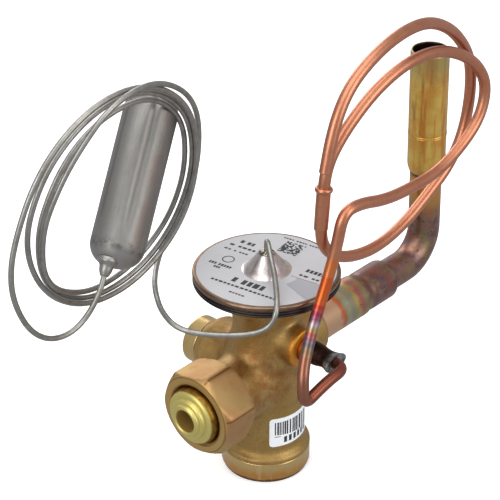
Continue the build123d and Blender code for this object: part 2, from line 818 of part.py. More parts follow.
upright_dir = Vector(elbow_top_x - elbow_foot_x, 0, tube_top_z - outlet_z).normalized()
upright_base = Vector(elbow_foot_x, 0, outlet_z) + upright_dir * (swage_z - outlet_z)
upright_plane = Plane(upright_base, x_dir=(0, -1, 0), z_dir=upright_dir)
upright_side = Plane(upright_base, x_dir=upright_plane.x_dir, z_dir=upright_plane.x_dir.cross(upright_dir))
swage_l = tube_top_z - swage_z
with BuildPart() as outlet_tube:
    with BuildLine() as elbow_line:
        FilletPolyline(
            (tube_in_x, 0, outlet_z), (elbow_foot_x, 0, outlet_z), upright_plane.origin,
            radius=elbow_r,
        )
    with BuildSketch(Plane.YZ.offset(tube_in_x)):
        with Locations((0, outlet_z)):
            Circle(tube_d / 2)
            Circle(tube_d / 2 - tube_wall, mode=Mode.SUBTRACT)
    sweep(path=elbow_line.line)
    with BuildSketch(upright_side):
        with BuildLine():
            Polyline(
                (tube_d / 2 - tube_wall, 0),
                (tube_d / 2, 0),
                (swage_d / 2, swage_taper),
                (swage_d / 2, swage_l),
                (swage_d / 2 - tube_wall, swage_l),
                (swage_d / 2 - tube_wall, swage_taper),
                close=True,
            )
        make_face()
    revolve(axis=Axis(upright_base, upright_dir))
finish(outlet_tube, "outlet_tube")

# ---------------------------------------------------------------- equaliser stub, pinched onto the line
eq_in_y = equaliser_boss_y - eq_stub_depth
with BuildPart() as equaliser_stub:
    with BuildSketch(Plane.XZ.offset(eq_flat_y)):
        with Locations((0, equaliser_z)):
            Circle(eq_stub_d / 2)
    extrude(amount=-(eq_flat_y - eq_in_y))
    with BuildSketch(Plane.XZ.offset(eq_flat_y)):
        with Locations((0, equaliser_z)):
            Circle(eq_stub_d / 2)
    with BuildSketch(Plane.XZ.offset(eq_mouth_y)):
        with Locations(Location((0, equaliser_z), eq_mouth_turn)):
            Ellipse(eq_mouth_w / 2, eq_mouth_h / 2)
    loft()
    with BuildSketch(Plane.XZ.offset(eq_in_y)):
        with Locations((0, equaliser_z)):
            Circle(eq_stub_d / 2 - eq_stub_wall)
    extrude(amount=eq_flat_y - eq_in_y - 1, mode=Mode.SUBTRACT)
    with BuildSketch(Plane.XZ.offset(eq_in_y)):
        with Locations((0, equaliser_z)):
            Circle(line_d / 2 + gap)
    extrude(amount=eq_mouth_y - eq_in_y, mode=Mode.SUBTRACT)
finish(equaliser_stub, "equaliser_stub")

# ---------------------------------------------------------------- equaliser line: two hand-bent loops
socket_dir = Vector(*line_end_dir).normalized()
socket_plane = Plane(bead_start, z_dir=socket_dir)
tail_start = Vector(*bead_start) + socket_dir * (bead_l + socket_l - tail_insert)
line_route = [
    (0, -eq_in_y, equaliser_z),
    (0, -26.6, equaliser_z),
    (-1.9, -28.3, equaliser_z - 0.1),
    (-5.5, -28.3, 43.4),
    (-11.0, -28.2, 42.2),
    (-17.0, -28.2, 40.4),
    (-16.6, -27.3, 47.0),
    (-14.0, -25.6, 51.4),
    (-9.4, -24.0, 58.0),
    (-5.2, -23.4, 65.0),
    (-2.0, -23.4, 72.0),
    (0.3, -23.8, 79.5),
    (2.0, -24.2, 88.6),
    (9.0, -24.4, 88.6),
    (19.0, -24.5, 85.6),
    (30.4, -24.5, 84.6),
    (42.5, -24.5, 84.9),
    (53.5, -24.5, 89.0),
    (61.5, -24.4, 95.0),
    (63.8, -24.0, 103.4),
    (59.5, -23.4, 110.6),
    (51.5, -22.8, 116.4),
    (41.0, -22.3, 120.4),
    (29.5, -21.8, 120.6),
    (18.6, -20.8, 116.8),
    (9.4, -20.2, 110.8),
    (3.0, -19.7, 104.6),
    Vector(*bead_start) - socket_dir * 3.6,
    Vector(*bead_start) + socket_dir * bead_l / 2,
]
tail_route = [
    tail_start,
    tail_start + socket_dir * (tail_insert + 1.0),
    (0.4, -19.3, 77.4),
    (5.4, -19.0, 72.2),
    (13.4, -19.0, 68.6),
    (24.0, -19.0, 67.0),
    (35.8, -19.0, 69.4),
    (46.0, -19.0, 74.5),
    (55.5, -19.0, 79.9),
    (61.2, -19.0, 87.4),
    (63.6, -19.0, 97.8),
    (62.2, -19.5, 108.8),
    (56.6, -20.2, 117.0),
    (47.8, -21.2, 124.6),
    (36.8, -22.2, 129.8),
    (24.6, -23.4, 131.0),
    (12.8, -24.2, 129.0),
    (2.4, -24.5, 123.8),
    (-4.8, -24.5, 115.4),
    (-8.6, -24.5, 103.4),
]

with BuildPart() as equaliser_line:
    line_path = tube_path(line_route)
    with BuildSketch(Plane(line_path.line @ 0, z_dir=line_path.line % 0)):
        Circle(line_d / 2)
    sweep(path=line_path.line)
    # bead, then the swaged socket that takes the tail
    with BuildSketch(socket_plane):
        Circle(bead_d / 2)
    extrude(amount=bead_l)
    fillet(equaliser_line.edges().filter_by(GeomType.CIRCLE).filter_by(
        lambda edge: abs(edge.radius - bead_d / 2) < 0.001), bead_l * 0.45)
    with BuildSketch(socket_plane.offset(bead_l / 2)):
        Circle(socket_d / 2)
    extrude(amount=bead_l / 2 + socket_l)
    with BuildSketch(socket_plane.offset(bead_l + socket_l - tail_insert)):
        Circle(line_d / 2 + gap)
    extrude(amount=tail_insert, mode=Mode.SUBTRACT)
finish(equaliser_line, "equaliser_line")

with BuildPart() as equaliser_tail:
    tail_path = tube_path(tail_route)
    with BuildSketch(Plane(tail_path.line @ 0, z_dir=tail_path.line % 0)):
        Circle(line_d / 2)
    sweep(path=tail_path.line)
    with BuildSketch(Plane(tail_path.line @ 1, z_dir=-(tail_path.line % 1))):
        Circle(line_bore_d / 2)
    extrude(amount=line_bore_l, mode=Mode.SUBTRACT)
finish(equaliser_tail, "equaliser_tail")

# ---------------------------------------------------------------- sensing bulb
bulb_axis = Vector(*bulb_head) - Vector(*bulb_foot)
bulb_l = bulb_axis.length
bulb_plane = Plane(bulb_foot, x_dir=nipple_side, z_dir=bulb_axis)


def bulb_space(shrink):
    """The bulb's outer form, or the space inside it when shrunk by the wall."""
    with BuildPart() as space:
        with BuildSketch(bulb_plane.offset(shrink)):
            Circle(bulb_d / 2 - shrink)
        extrude(amount=bulb_l - 2 * shrink)
        fillet(space.edges().filter_by(GeomType.CIRCLE), bulb_corner_r - shrink)
        # a rolled flute runs up one side
        with BuildSketch(bulb_plane.offset(bulb_groove_start)):
            with Locations(Location((0, 0), bulb_groove_turn)):
                with Locations((bulb_d / 2 - bulb_groove_depth + bulb_groove_r, 0)):
                    Circle(bulb_groove_r + shrink)
        extrude(amount=bulb_l - bulb_groove_start, mode=Mode.SUBTRACT)
    return space.part


nipple_plane = Plane(bulb_plane.from_local_coords((nipple_offset, 0, 0)), x_dir=bulb_plane.x_dir, z_dir=bulb_plane.z_dir)
nipple_root = bulb_wall * 2
with BuildPart() as bulb:
    add(bulb_space(0))
    with BuildSketch(nipple_plane.offset(nipple_root)):
        Circle(nipple_d / 2)
    extrude(amount=-nipple_l - nipple_root)
    add(bulb_space(bulb_wall), mode=Mode.SUBTRACT)
    with BuildSketch(nipple_plane.offset(-nipple_l)):
        Circle(capillary_r + gap)
    extrude(amount=nipple_l + 2 * nipple_root, mode=Mode.SUBTRACT)
finish(bulb, "bulb")

# ---------------------------------------------------------------- capillary: over the head, round the back, then coiled


def turn_point(angle, radius, y):
    """A corner of the winding, on a centre that drifts sideways as the turns come forward."""
    reach = radius / cos(radians(turn_step / 2))
    return (
        coil_x + skew_x * (y - coil_y) + reach * cos(radians(angle)),
        y,
        coil_z - skew_z * (y - coil_y) + reach * sin(radians(angle)),
    )


turn_step = 30
lead_route = [
    (0, 0, dome_top_z - dome_wall),
    (0, 0, head_top_z + 8.4),
    (-3.9, -5.3, head_top_z + 5.6),
    (-7.4, -9.6, head_top_z + 4.0),
    (-14.8, -17.0, head_top_z + 1.6),
    (-16.9, -16.6, 59.8),
    (-20.6, -12.2, 57.0),
    (-28.2, -3.6, 57.0),
    (-32.2, 2.6, 58.2),
    (-30.6, 9.6, 59.4),
    (-26.2, 16.2, 59.9),
    (-20.2, 22.9, 59.4),
    (-13.2, 28.6, 60.0),
    (-6.6, 31.9, 63.0),
]
first_turn = [
    (-30, 27.6, 30.0), (0, 30.3, 27.6), (30, 33.8, 23.0), (60, 31.0, 17.5), (90, 25.4, 15.6),
    (120, 21.0, 17.2), (150, 21.2, 18.5), (180, 25.4, 20.5), (210, 29.3, 22.5), (240, 26.2, 25.5),
]
later_radii = [
    22.8, 21.4, 22.6, 24.8, 27.6, 27.0, 24.2, 23.3, 24.0, 27.4, 30.0, 28.2,
    25.5, 24.7, 25.5, 27.8, 29.4, 28.4, 26.9, 26.5, 28.2, 31.2, 31.0, 29.6,
    27.6, 27.0, 28.2, 29.3, 30.8, 29.6, 28.3, 28.0, 30.0,
]
last_loop = [
    (-69.6, 20.7, 91.8),
    (-71.6, 20.5, 82.2),
    (-70.2, 20.3, 74.0),
    (-66.6, 20.0, 66.2),
    (-61.0, 19.6, 61.2),
    (-54.0, 19.3, 60.0),
    (-48.0, 19.0, 63.0),
]
winding = [turn_point(*corner) for corner in first_turn]
for step, radius in enumerate(later_radii):
    angle = 270 + turn_step * step
    forward = coil_back_y - coil_lean * sin(radians(angle)) + coil_pitch * (angle - 360) / 360
    winding.append(turn_point(angle, radius, forward))
nipple_dir = nipple_plane.z_dir
nipple_end = nipple_plane.origin - nipple_dir * nipple_l
with BuildPart() as capillary:
    capillary_path = tube_path([
        *lead_route, *winding, *last_loop,
        nipple_end - nipple_dir * 4.0, nipple_plane.origin + nipple_dir * nipple_root,
    ])
    with BuildSketch(Plane(capillary_path.line @ 0, z_dir=capillary_path.line % 0)):
        Circle(capillary_r)
    sweep(path=capillary_path.line)
finish(capillary, "capillary")

# ---------------------------------------------------------------- paper label wrapped round the column
label_dir = Vector(cos(radians(body_label_angle)), sin(radians(body_label_angle)), 0)
with BuildPart() as body_label:
    with BuildSketch(Plane.XY.offset(body_label_z)):
        Circle(column_d / 2 + body_label_t)
        Circle(column_d / 2, mode=Mode.SUBTRACT)
    extrude(amount=body_label_h)
    with BuildSketch(Plane((0, 0, body_label_z + body_label_h / 2), x_dir=label_dir.cross(Vector(0, 0, 1)), z_dir=label_dir)):
        RectangleRounded(body_label_w, body_label_h, 1.0)
    extrude(amount=column_d, mode=Mode.INTERSECT)
finish(body_label, "body_label")
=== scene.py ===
"""Dresses a thermostatic expansion valve: outside pieces, metal finishes, label marks and a plain studio.

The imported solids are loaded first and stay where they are. Each operator below makes one piece or one
group of like pieces in the same frame: metres, +Z up, the origin at the centre of the base face.
"""

import math
import random

import bmesh
import bpy
from mathutils import Matrix, Vector


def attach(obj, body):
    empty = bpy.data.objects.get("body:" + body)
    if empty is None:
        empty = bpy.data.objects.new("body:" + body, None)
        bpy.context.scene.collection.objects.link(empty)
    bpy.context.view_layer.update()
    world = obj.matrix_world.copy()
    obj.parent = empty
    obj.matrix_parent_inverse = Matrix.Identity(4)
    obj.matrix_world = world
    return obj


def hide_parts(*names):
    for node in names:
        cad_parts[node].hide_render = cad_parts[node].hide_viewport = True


bl_info = {
    "name": "Expansion valve dresser",
    "version": (1, 0, 0),
    "blender": (4, 5, 0),
    "location": "3D View > Sidebar > Valve",
    "description": "Builds the outside pieces and the finishes of a thermostatic expansion valve",
    "category": "Object",
}

MM = 0.001
# heights of the port axes over the base and the radius of the column, in mm
INLET_Z, OUTLET_Z, SETTING_Z, EQUALISER_Z = 30.1, 36.6, 29.7, 43.7
COLUMN_R = 11.1
# how far the nut is turned on its axis, in degrees
NUT_TURN = 47.0
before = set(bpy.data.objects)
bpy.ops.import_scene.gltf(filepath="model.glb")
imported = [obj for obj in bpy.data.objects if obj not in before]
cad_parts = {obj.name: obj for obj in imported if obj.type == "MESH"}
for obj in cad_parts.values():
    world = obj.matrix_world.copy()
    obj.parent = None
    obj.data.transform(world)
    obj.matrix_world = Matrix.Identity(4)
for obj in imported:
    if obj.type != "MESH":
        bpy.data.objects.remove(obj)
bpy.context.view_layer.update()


# ---------------------------------------------------------------- node sums
class Val:
    """An output socket. Sums on it, such as 2 * a + b, add Math nodes; node() adds any other node."""

    def __init__(self, tree, socket):
        self.tree = tree
        self.socket = socket

    def node(self, kind, ins=(), out=0, **setup):
        """Add a node whose named or numbered inputs take values or other sockets, and return one output."""
        made = self.tree.nodes.new(kind)
        for key, value in setup.items():
            setattr(made, key, value)
        for key, value in dict(ins).items():
            if isinstance(value, Val):
                self.tree.links.new(value.socket, made.inputs[key])
            else:
                made.inputs[key].default_value = value
        return Val(self.tree, made.outputs[out])

    def maths(self, operation, *others):
        """Add a Math node whose first term is this value."""
        return self.node("ShaderNodeMath", dict(enumerate((self, *others))), operation=operation)

    def __add__(self, other):
        return self.maths("ADD", other)

    __radd__ = __add__

    def __sub__(self, other):
        return self.maths("SUBTRACT", other)

    def __rsub__(self, other):
        return self.node("ShaderNodeMath", {0: other, 1: self}, operation="SUBTRACT")

    def __mul__(self, other):
        return self.maths("MULTIPLY", other)

    __rmul__ = __mul__

    def __gt__(self, other):
        return self.maths("GREATER_THAN", other)

    def __neg__(self):
        return self * -1.0


def in_mm(place):
    """The x, y and z of a place, in millimetres."""
    apart = [place.node("ShaderNodeSeparateXYZ", {0: place}, out=k) for k in range(3)]
    return [part * 1000.0 for part in apart]


def span(a, b):
    """How long the side is that a and b make at a right angle."""
    squares = a * a + b * b
    return squares.maths("SQRT")


def rise(value, low, high):
    """0 below low, 1 above high, and an easy step between."""
    limits = {"Value": value, "From Min": low, "From Max": high}
    return value.node("ShaderNodeMapRange", limits, interpolation_type="SMOOTHSTEP")


def patch(value, low, high, soft):
    """1 between low and high, fading to 0 over soft on each side."""
    return rise(value, low - soft, low + soft) * (1.0 - rise(value, high - soft, high + soft))


def blotches(place, size, detail=2.0, rough=0.5, stretch=(1, 1, 1), seed=0.0):
    """Noise from 0 to 1 with features about size mm across, longer along an axis whose stretch is large."""
    per_metre = tuple(1000.0 / (size * s) for s in stretch)
    scaled = place.node("ShaderNodeVectorMath", {0: place, 1: per_metre}, operation="MULTIPLY")
    ins = {"Vector": scaled, "W": seed, "Scale": 1.0, "Detail": detail, "Roughness": rough}
    return place.node("ShaderNodeTexNoise", ins, noise_dimensions="4D")


def mixed(share, first, second):
    """first where share is 0, second where it is 1."""
    return share.node("ShaderNodeMix", {0: share, 6: first, 7: second}, out=2, data_type="RGBA")


def stained(base, noise, low, high, strength, hue):
    """Lay a hue over a base where a noise is high: none of it below low, that strength of it above high."""
    return mixed(rise(noise, low, high) * strength, base, hue)


def stored(place, name):
    """A number that a mesh carries on its points."""
    return place.node("ShaderNodeAttribute", out="Fac", attribute_name=name)


def near(place, centre, reach):
    """1 at a point given in mm, falling to 0 at reach mm from it."""
    ends = {0: place, 1: tuple(c * MM for c in centre)}
    gap = place.node("ShaderNodeVectorMath", ends, out=1, operation="DISTANCE")
    return 1.0 - rise(gap * 1000.0, reach * 0.35, reach)


def srgb(red, green, blue):
    """A colour given by its 0 to 255 values, as the renderer's own values."""
    parts = [value / 255 for value in (red, green, blue)]
    return (*(((part + 0.055) / 1.055) ** 2.4 if part > 0.04 else part / 12.92 for part in parts), 1.0)


# ---------------------------------------------------------------- finishes
FINISHES = {}


def start(name, metallic=1.0, roughness=0.4, coat=0.0):
    """A new finish, kept under its name: its shader, and the place on the piece that its patterns read."""
    material = bpy.data.materials.new(name)
    material.use_nodes = True
    tree = material.node_tree
    shader = tree.nodes["Principled BSDF"]
    fixed_values = {"Metallic": metallic, "Roughness": roughness, "Coat Weight": coat, "Coat Roughness": 0.4}
    for socket, value in fixed_values.items():
        shader.inputs[socket].default_value = value
    FINISHES[name] = material
    return shader, Val(tree, tree.nodes.new("ShaderNodeTexCoord").outputs["Object"])


def feed(shader, **sockets):
    """Link values into the shader, by socket name with _ for a space."""
    for name, value in sockets.items():
        value.tree.links.new(value.socket, shader.inputs[name.replace("_", " ")])


def relief(shader, *layers):
    """Stack bumps, each (height, depth in mm, strength), into the shader's normal."""
    below = None
    for height, depth, strength in layers:
        ins = {"Height": height, "Distance": depth * MM, "Strength": strength}
        if below is not None:
            ins["Normal"] = below
        below = height.node("ShaderNodeBump", ins)
    feed(shader, Normal=below)


def forged_brass(tone):
    """Sand-blasted brass forging: olive tan, with reddish film where it was heated."""
    shader, here = start("forged_brass", roughness=0.5, coat=0.22)
    x, y, z = in_mm(here)
    clouds = blotches(here, 7.0, 3.0, 0.6)
    grain = blotches(here, 0.42, 3.0, 0.7, seed=2.0)
    base = mixed(rise(clouds, 0.35, 0.68), tone, srgb(186, 152, 92))
    base = stained(base, blotches(here, 3.2, 3.0, 0.65, seed=5.0), 0.5, 0.72, 0.6, srgb(146, 110, 60))
    base = stained(base, grain, 0.45, 0.7, 0.3, srgb(120, 88, 44))
    base = stained(base, blotches(here, 0.6, 2.0, 0.6, seed=21.0), 0.58, 0.72, 0.35, srgb(206, 176, 116))
    film = blotches(here, 4.0, 3.0, 0.65, seed=9.0)
    heat = near(here, (-10, -7, 36), 14)
    heat = heat.maths("MAXIMUM", near(here, (1, -11, 44), 9) * 0.8)
    heat = heat.maths("MAXIMUM", near(here, (-3, 12, 37), 10) * 0.6)
    base = mixed(rise(film, 0.34, 0.62) * heat * 0.7, base, srgb(150, 90, 48))
    # a golden ring where the equaliser stub was brazed in
    ring = patch(span(x, z - EQUALISER_Z), 3.4, 5.9, 0.5) * (1.0 - rise(y, -13.2, -11.6))
    base = mixed(ring, base, srgb(216, 148, 52))
    # pale runs down the foot of the column, and dark pits
    runs = rise(blotches(here, 1.1, 2.0, 0.55, (1, 1, 7), seed=14.0), 0.6, 0.7) * (1.0 - rise(z, 26.0, 30.0))
    base = mixed(runs * 0.4, base, srgb(196, 160, 104))
    pits = rise(blotches(here, 1.3, 1.0, 0.5, seed=12.0), 0.7, 0.75)
    base = mixed(pits * 0.55, base, srgb(104, 72, 36))
    feed(shader, Base_Color=base, Roughness=0.4 + 0.24 * grain)
    relief(shader, (clouds, 0.3, 0.35), (grain, 0.1, 0.75))


def turned_brass(name, tone, warm, stretch, roughness=0.3, film=0.35, foot=False):
    """Brass off the lathe: fine rings round an axis, and a thin warm film in bands."""
    shader, here = start(name, roughness=roughness, coat=0.2)
    rings = blotches(here, 0.22, 2.0, 0.6, stretch)
    bands = blotches(here, 1.6, 2.0, 0.5, stretch, seed=4.0)
    cloud = blotches(here, 4.0, 3.0, 0.6, seed=7.0)
    base = mixed(rise(bands, 0.35, 0.7) * film, tone, warm)
    base = mixed(rise(cloud, 0.48, 0.72) * film * 1.4, base, warm)
    if foot:
        # orange film low down, and a dark line of painted shade where the band meets the bench
        _, _, z = in_mm(here)
        low = 1.0 - rise(z + 4.5 * (cloud - 0.5), 2.0, 4.6)
        base = mixed(low * 0.8, base, srgb(204, 138, 60))
        # painted shade along the undercut bottom edge of the band
        dark = 1.0 - rise(z + 1.4 * (blotches(here, 2.6, 3.0, 0.6, seed=19.0) - 0.5), 0.95, 1.45)
        base = mixed(dark * 0.85, base, srgb(78, 56, 38))
        streaks = rise(blotches(here, 1.0, 2.0, 0.5, (1, 1, 9), seed=23.0), 0.58, 0.68)
        base = mixed(streaks * 0.35, base, srgb(232, 206, 156))
    feed(shader, Base_Color=base, Roughness=roughness + 0.2 * (rings - 0.5))
    relief(shader, (rings, 0.02, 0.5))


def nut_brass(tone):
    """Brass hex: pinkish brown flats with cutter marks, redder worn corners, an olive turned face."""
    shader, here = start("nut_brass", roughness=0.46)
    x, y, z = in_mm(here)
    # how far round the nut a place is, counted in flats, and how far that is from a corner
    around = (z - INLET_Z).maths("ARCTAN2", y) * (3.0 / math.pi) - NUT_TURN / 60.0
    off_corner = (around + 0.5).maths("FRACT") - 0.5
    corner = 1.0 - rise(off_corner.maths("ABSOLUTE"), 0.0, 0.045)
    radius = span(y, z - INLET_Z)
    marks = blotches(here, 0.26, 2.0, 0.6, (30, 1, 1), seed=3.0)
    cloud = blotches(here, 3.4, 3.0, 0.65, seed=6.0)
    base = mixed(rise(blotches(here, 9.0, 1.0, 0.4, seed=1.0), 0.35, 0.65), tone, srgb(194, 162, 108))
    base = stained(base, cloud, 0.46, 0.7, 0.5, srgb(172, 124, 76))
    base = stained(base, marks, 0.5, 0.75, 0.22, srgb(200, 160, 104))
    edge = radius + 0.5 * (cloud - 0.5)
    base = mixed(corner * rise(edge, 11.3, 11.9) * 0.75, base, srgb(138, 74, 40))
    # the turned face is olive, with a brown line round it
    face = (1.0 - rise(x, -28.9, -28.4)) * rise(radius, 9.0, 9.4)
    base = mixed(face * 0.8, base, srgb(200, 168, 104))
    line = patch(radius, 10.95, 11.35, 0.16) * (1.0 - rise(x, -28.5, -27.9))
    base = mixed(line * 0.6, base, srgb(132, 84, 44))
    wall = 1.0 - rise(radius, 9.25, 9.35)
    base = mixed(wall * (1.0 - rise(radius, 8.7, 9.1) * 0.75), base, srgb(176, 138, 62))
    feed(shader, Base_Color=base, Roughness=0.47 + 0.14 * marks)
    relief(shader, (marks, 0.02, 0.35), (cloud, 0.12, 0.3))


def nose_brass(tone):
    """Turned nose, pale and a little green at its face, brown gold down its side and in its bore."""
    shader, here = start("nose_brass", roughness=0.42)
    _, y, z = in_mm(here)
    radius = span(y, z - INLET_Z)
    ins = {"W": radius * 3.2, "Scale": 1.0, "Detail": 2.0}
    rings = radius.node("ShaderNodeTexNoise", ins, noise_dimensions="1D")
    cloud = blotches(here, 1.6, 3.0, 0.6)
    base = stained(tone, rings, 0.4, 0.7, 0.45, srgb(196, 178, 98))
    side = rise(radius, 7.62, 7.8)
    base = mixed(side, base, mixed(rise(cloud, 0.35, 0.65), srgb(168, 132, 58), srgb(122, 88, 34)))
    deep = 1.0 - rise(radius, 3.2, 3.6)
    base = mixed(deep, base, srgb(150, 112, 46))
    feed(shader, Base_Color=base, Roughness=0.4 + 0.16 * rings + 0.1 * deep, Metallic=1.0 - 0.75 * deep)
    relief(shader, (rings, 0.05, 0.5))


def drawn_steel(tone, dark):
    """Stainless tube as drawn, with faint brownish lengths."""
    shader, here = start("capillary_steel", roughness=0.38)
    cloud = blotches(here, 2.5, 3.0, 0.6)
    base = mixed(rise(cloud, 0.4, 0.7) * 0.6, tone, dark)
    feed(shader, Base_Color=base, Roughness=0.32 + 0.2 * cloud)
    relief(shader, (blotches(here, 0.3, 2.0, 0.6, seed=3.0), 0.02, 0.3))


def bulb_steel(tone):
    """Brushed bulb: grain along its length, a redder stripe down one side, a dark blotchy band at the rolled
    end.
    """
    shader, here = start("bulb_steel", roughness=0.5)
    height = stored(here, "along")
    turn = stored(here, "around")
    grain_at = height.node("ShaderNodeCombineXYZ", {0: turn * 0.048, 1: height * 0.00005, 2: 0.0})
    grain = blotches(grain_at, 0.16, 3.0, 0.65)
    broad = blotches(grain_at, 1.3, 2.0, 0.6, seed=6.0)
    cloud = blotches(here, 5.0, 3.0, 0.6)
    base = stained(tone, cloud, 0.35, 0.7, 0.4, srgb(138, 136, 131))
    base = stained(base, grain, 0.42, 0.75, 0.35, srgb(112, 108, 102))
    base = stained(base, broad, 0.5, 0.7, 0.4, srgb(126, 121, 114))
    stripe = patch(turn, 0.15, 0.2, 0.035) * rise(blotches(here, 8.0, 2.0, 0.5, seed=4.0), 0.35, 0.6)
    base = mixed(stripe * 0.4, base, srgb(140, 108, 98))
    # painted shade along the crease of the flute
    crease_shade = patch(turn, 0.078, 0.098, 0.012) * rise(height, 9.0, 16.0)
    base = mixed(crease_shade * 0.5, base, srgb(104, 100, 96))
    # a dark blotchy band round the rolled end
    band_blotches = blotches(here, 2.0, 4.0, 0.65, seed=8.0)
    rolled = patch(height, 4.2, 6.4, 1.0) * rise(band_blotches, 0.44, 0.6)
    base = mixed(rolled * 0.6, base, srgb(82, 80, 78))
    base = mixed((1.0 - rise(height, 3.0, 5.0)) * 0.35, base, srgb(186, 184, 180))
    specks = rise(blotches(here, 0.8, 1.0, 0.5, seed=15.0), 0.74, 0.78)
    base = mixed(specks * 0.7, base, srgb(84, 66, 56))
    feed(shader, Base_Color=base, Roughness=0.44 + 0.16 * grain)
    relief(shader, (grain, 0.03, 0.4), (cloud, 0.15, 0.12))


def head_steel(tone):
    """Diaphragm head: bronze film on the rim, near-black weld grooves, bare polished dome."""
    shader, here = start("head_steel", roughness=0.3)
    x, y, z = in_mm(here)
    radius = span(x, y)
    cloud = blotches(here, 2.2, 3.0, 0.6)
    base = stained(tone, cloud, 0.4, 0.66, 0.6, srgb(112, 88, 68))
    groove = (1.0 - rise(z, 61.6, 62.1)) * rise(radius, 18.9, 19.4)
    base = mixed(groove, base, srgb(62, 56, 54))
    bare = 1.0 - rise(radius, 6.7, 7.0)
    dulled = blotches(here, 1.4, 2.0, 0.5, seed=3.0)
    dome = stained(srgb(216, 208, 205), dulled, 0.4, 0.7, 0.5, srgb(190, 172, 166))
    base = mixed(bare, base, dome)
    scorch = (1.0 - rise(radius, 1.9, 2.6)) * rise(z, 65.4, 66.4)
    base = mixed(scorch * rise(cloud, 0.25, 0.5), base, srgb(58, 40, 30))
    feed(shader, Base_Color=base, Roughness=0.2 + 0.2 * cloud)
    relief(shader, (cloud, 0.06, 0.4))


def label_film(name, tone, roughness=0.42):
    """Printed film, satin and very slightly uneven."""
    shader, here = start(name, metallic=0.0, roughness=roughness)
    cloud = blotches(here, 6.0, 2.0, 0.5)
    base = mixed(rise(cloud, 0.3, 0.7) * 0.25, tone, tuple(c * 0.9 for c in tone[:3]) + (1.0,))
    feed(shader, Base_Color=base, Roughness=roughness + 0.08 * cloud)
    relief(shader, (cloud, 0.03, 0.2))


def ink(name, tone):
    """Dull printing ink with a slightly broken edge."""
    shader, here = start(name, metallic=0.0, roughness=0.6)
    wear = blotches(here, 0.25, 2.0, 0.6)
    base = stained(tone, wear, 0.55, 0.8, 0.4, srgb(90, 90, 92))
    feed(shader, Base_Color=base, Roughness=0.5 + 0.2 * wear)


def film_over(base, place, hues, strength, soft):
    """Lay heat colours over a base, each (low, high, colour) along a place, running into one another."""
    for low, high, hue in hues:
        base = mixed(patch(place, low, high, soft) * strength, base, hue)
    return base


def copper(tone):
    """Drawn copper: long faint streaks, darker specks, and the heat colours of the brazed end."""
    shader, here = start("copper", roughness=0.38, coat=0.25)
    along = stored(here, "along")
    cloud = blotches(here, 6.0, 3.0, 0.6)
    small = blotches(here, 0.9, 3.0, 0.65, seed=2.0)
    base = stained(tone, cloud, 0.35, 0.7, 0.5, srgb(206, 144, 112))
    base = stained(base, small, 0.5, 0.75, 0.4, srgb(164, 98, 70))
    specks = rise(blotches(here, 0.8, 1.0, 0.5, seed=6.0), 0.72, 0.78)
    base = mixed(specks * 0.6, base, srgb(112, 62, 44))
    wobble = along + 1.6 * (blotches(here, 2.2, 2.0, 0.5, seed=11.0) - 0.5)
    # from the brazed end on: how far along the tube each colour starts and ends, in mm
    film = [
        (11.0, 33.0, srgb(132, 66, 50)),
        (33.0, 46.0, srgb(146, 96, 76)),
        (46.0, 47.9, srgb(118, 106, 78)),
        (47.9, 49.7, srgb(76, 96, 102)),
        (49.7, 50.9, srgb(104, 76, 112)),
        (50.9, 52.4, srgb(160, 80, 84)),
        (52.4, 53.6, srgb(146, 144, 92)),
        (53.6, 55.4, srgb(174, 162, 168)),
        (55.4, 56.5, srgb(104, 76, 124)),
        (56.5, 58.4, srgb(146, 38, 78)),
        (58.4, 60.4, srgb(192, 50, 34)),
        (60.4, 68.0, srgb(218, 94, 26)),
        (68.0, 73.0, srgb(222, 126, 64)),
    ]
    brazed = along > 0.5
    base = film_over(base, wobble, film, brazed * 0.88, 0.8)
    feed(shader, Base_Color=base, Roughness=0.3 + 0.16 * cloud)
    relief(shader, (small, 0.03, 0.3), (cloud, 0.12, 0.1))


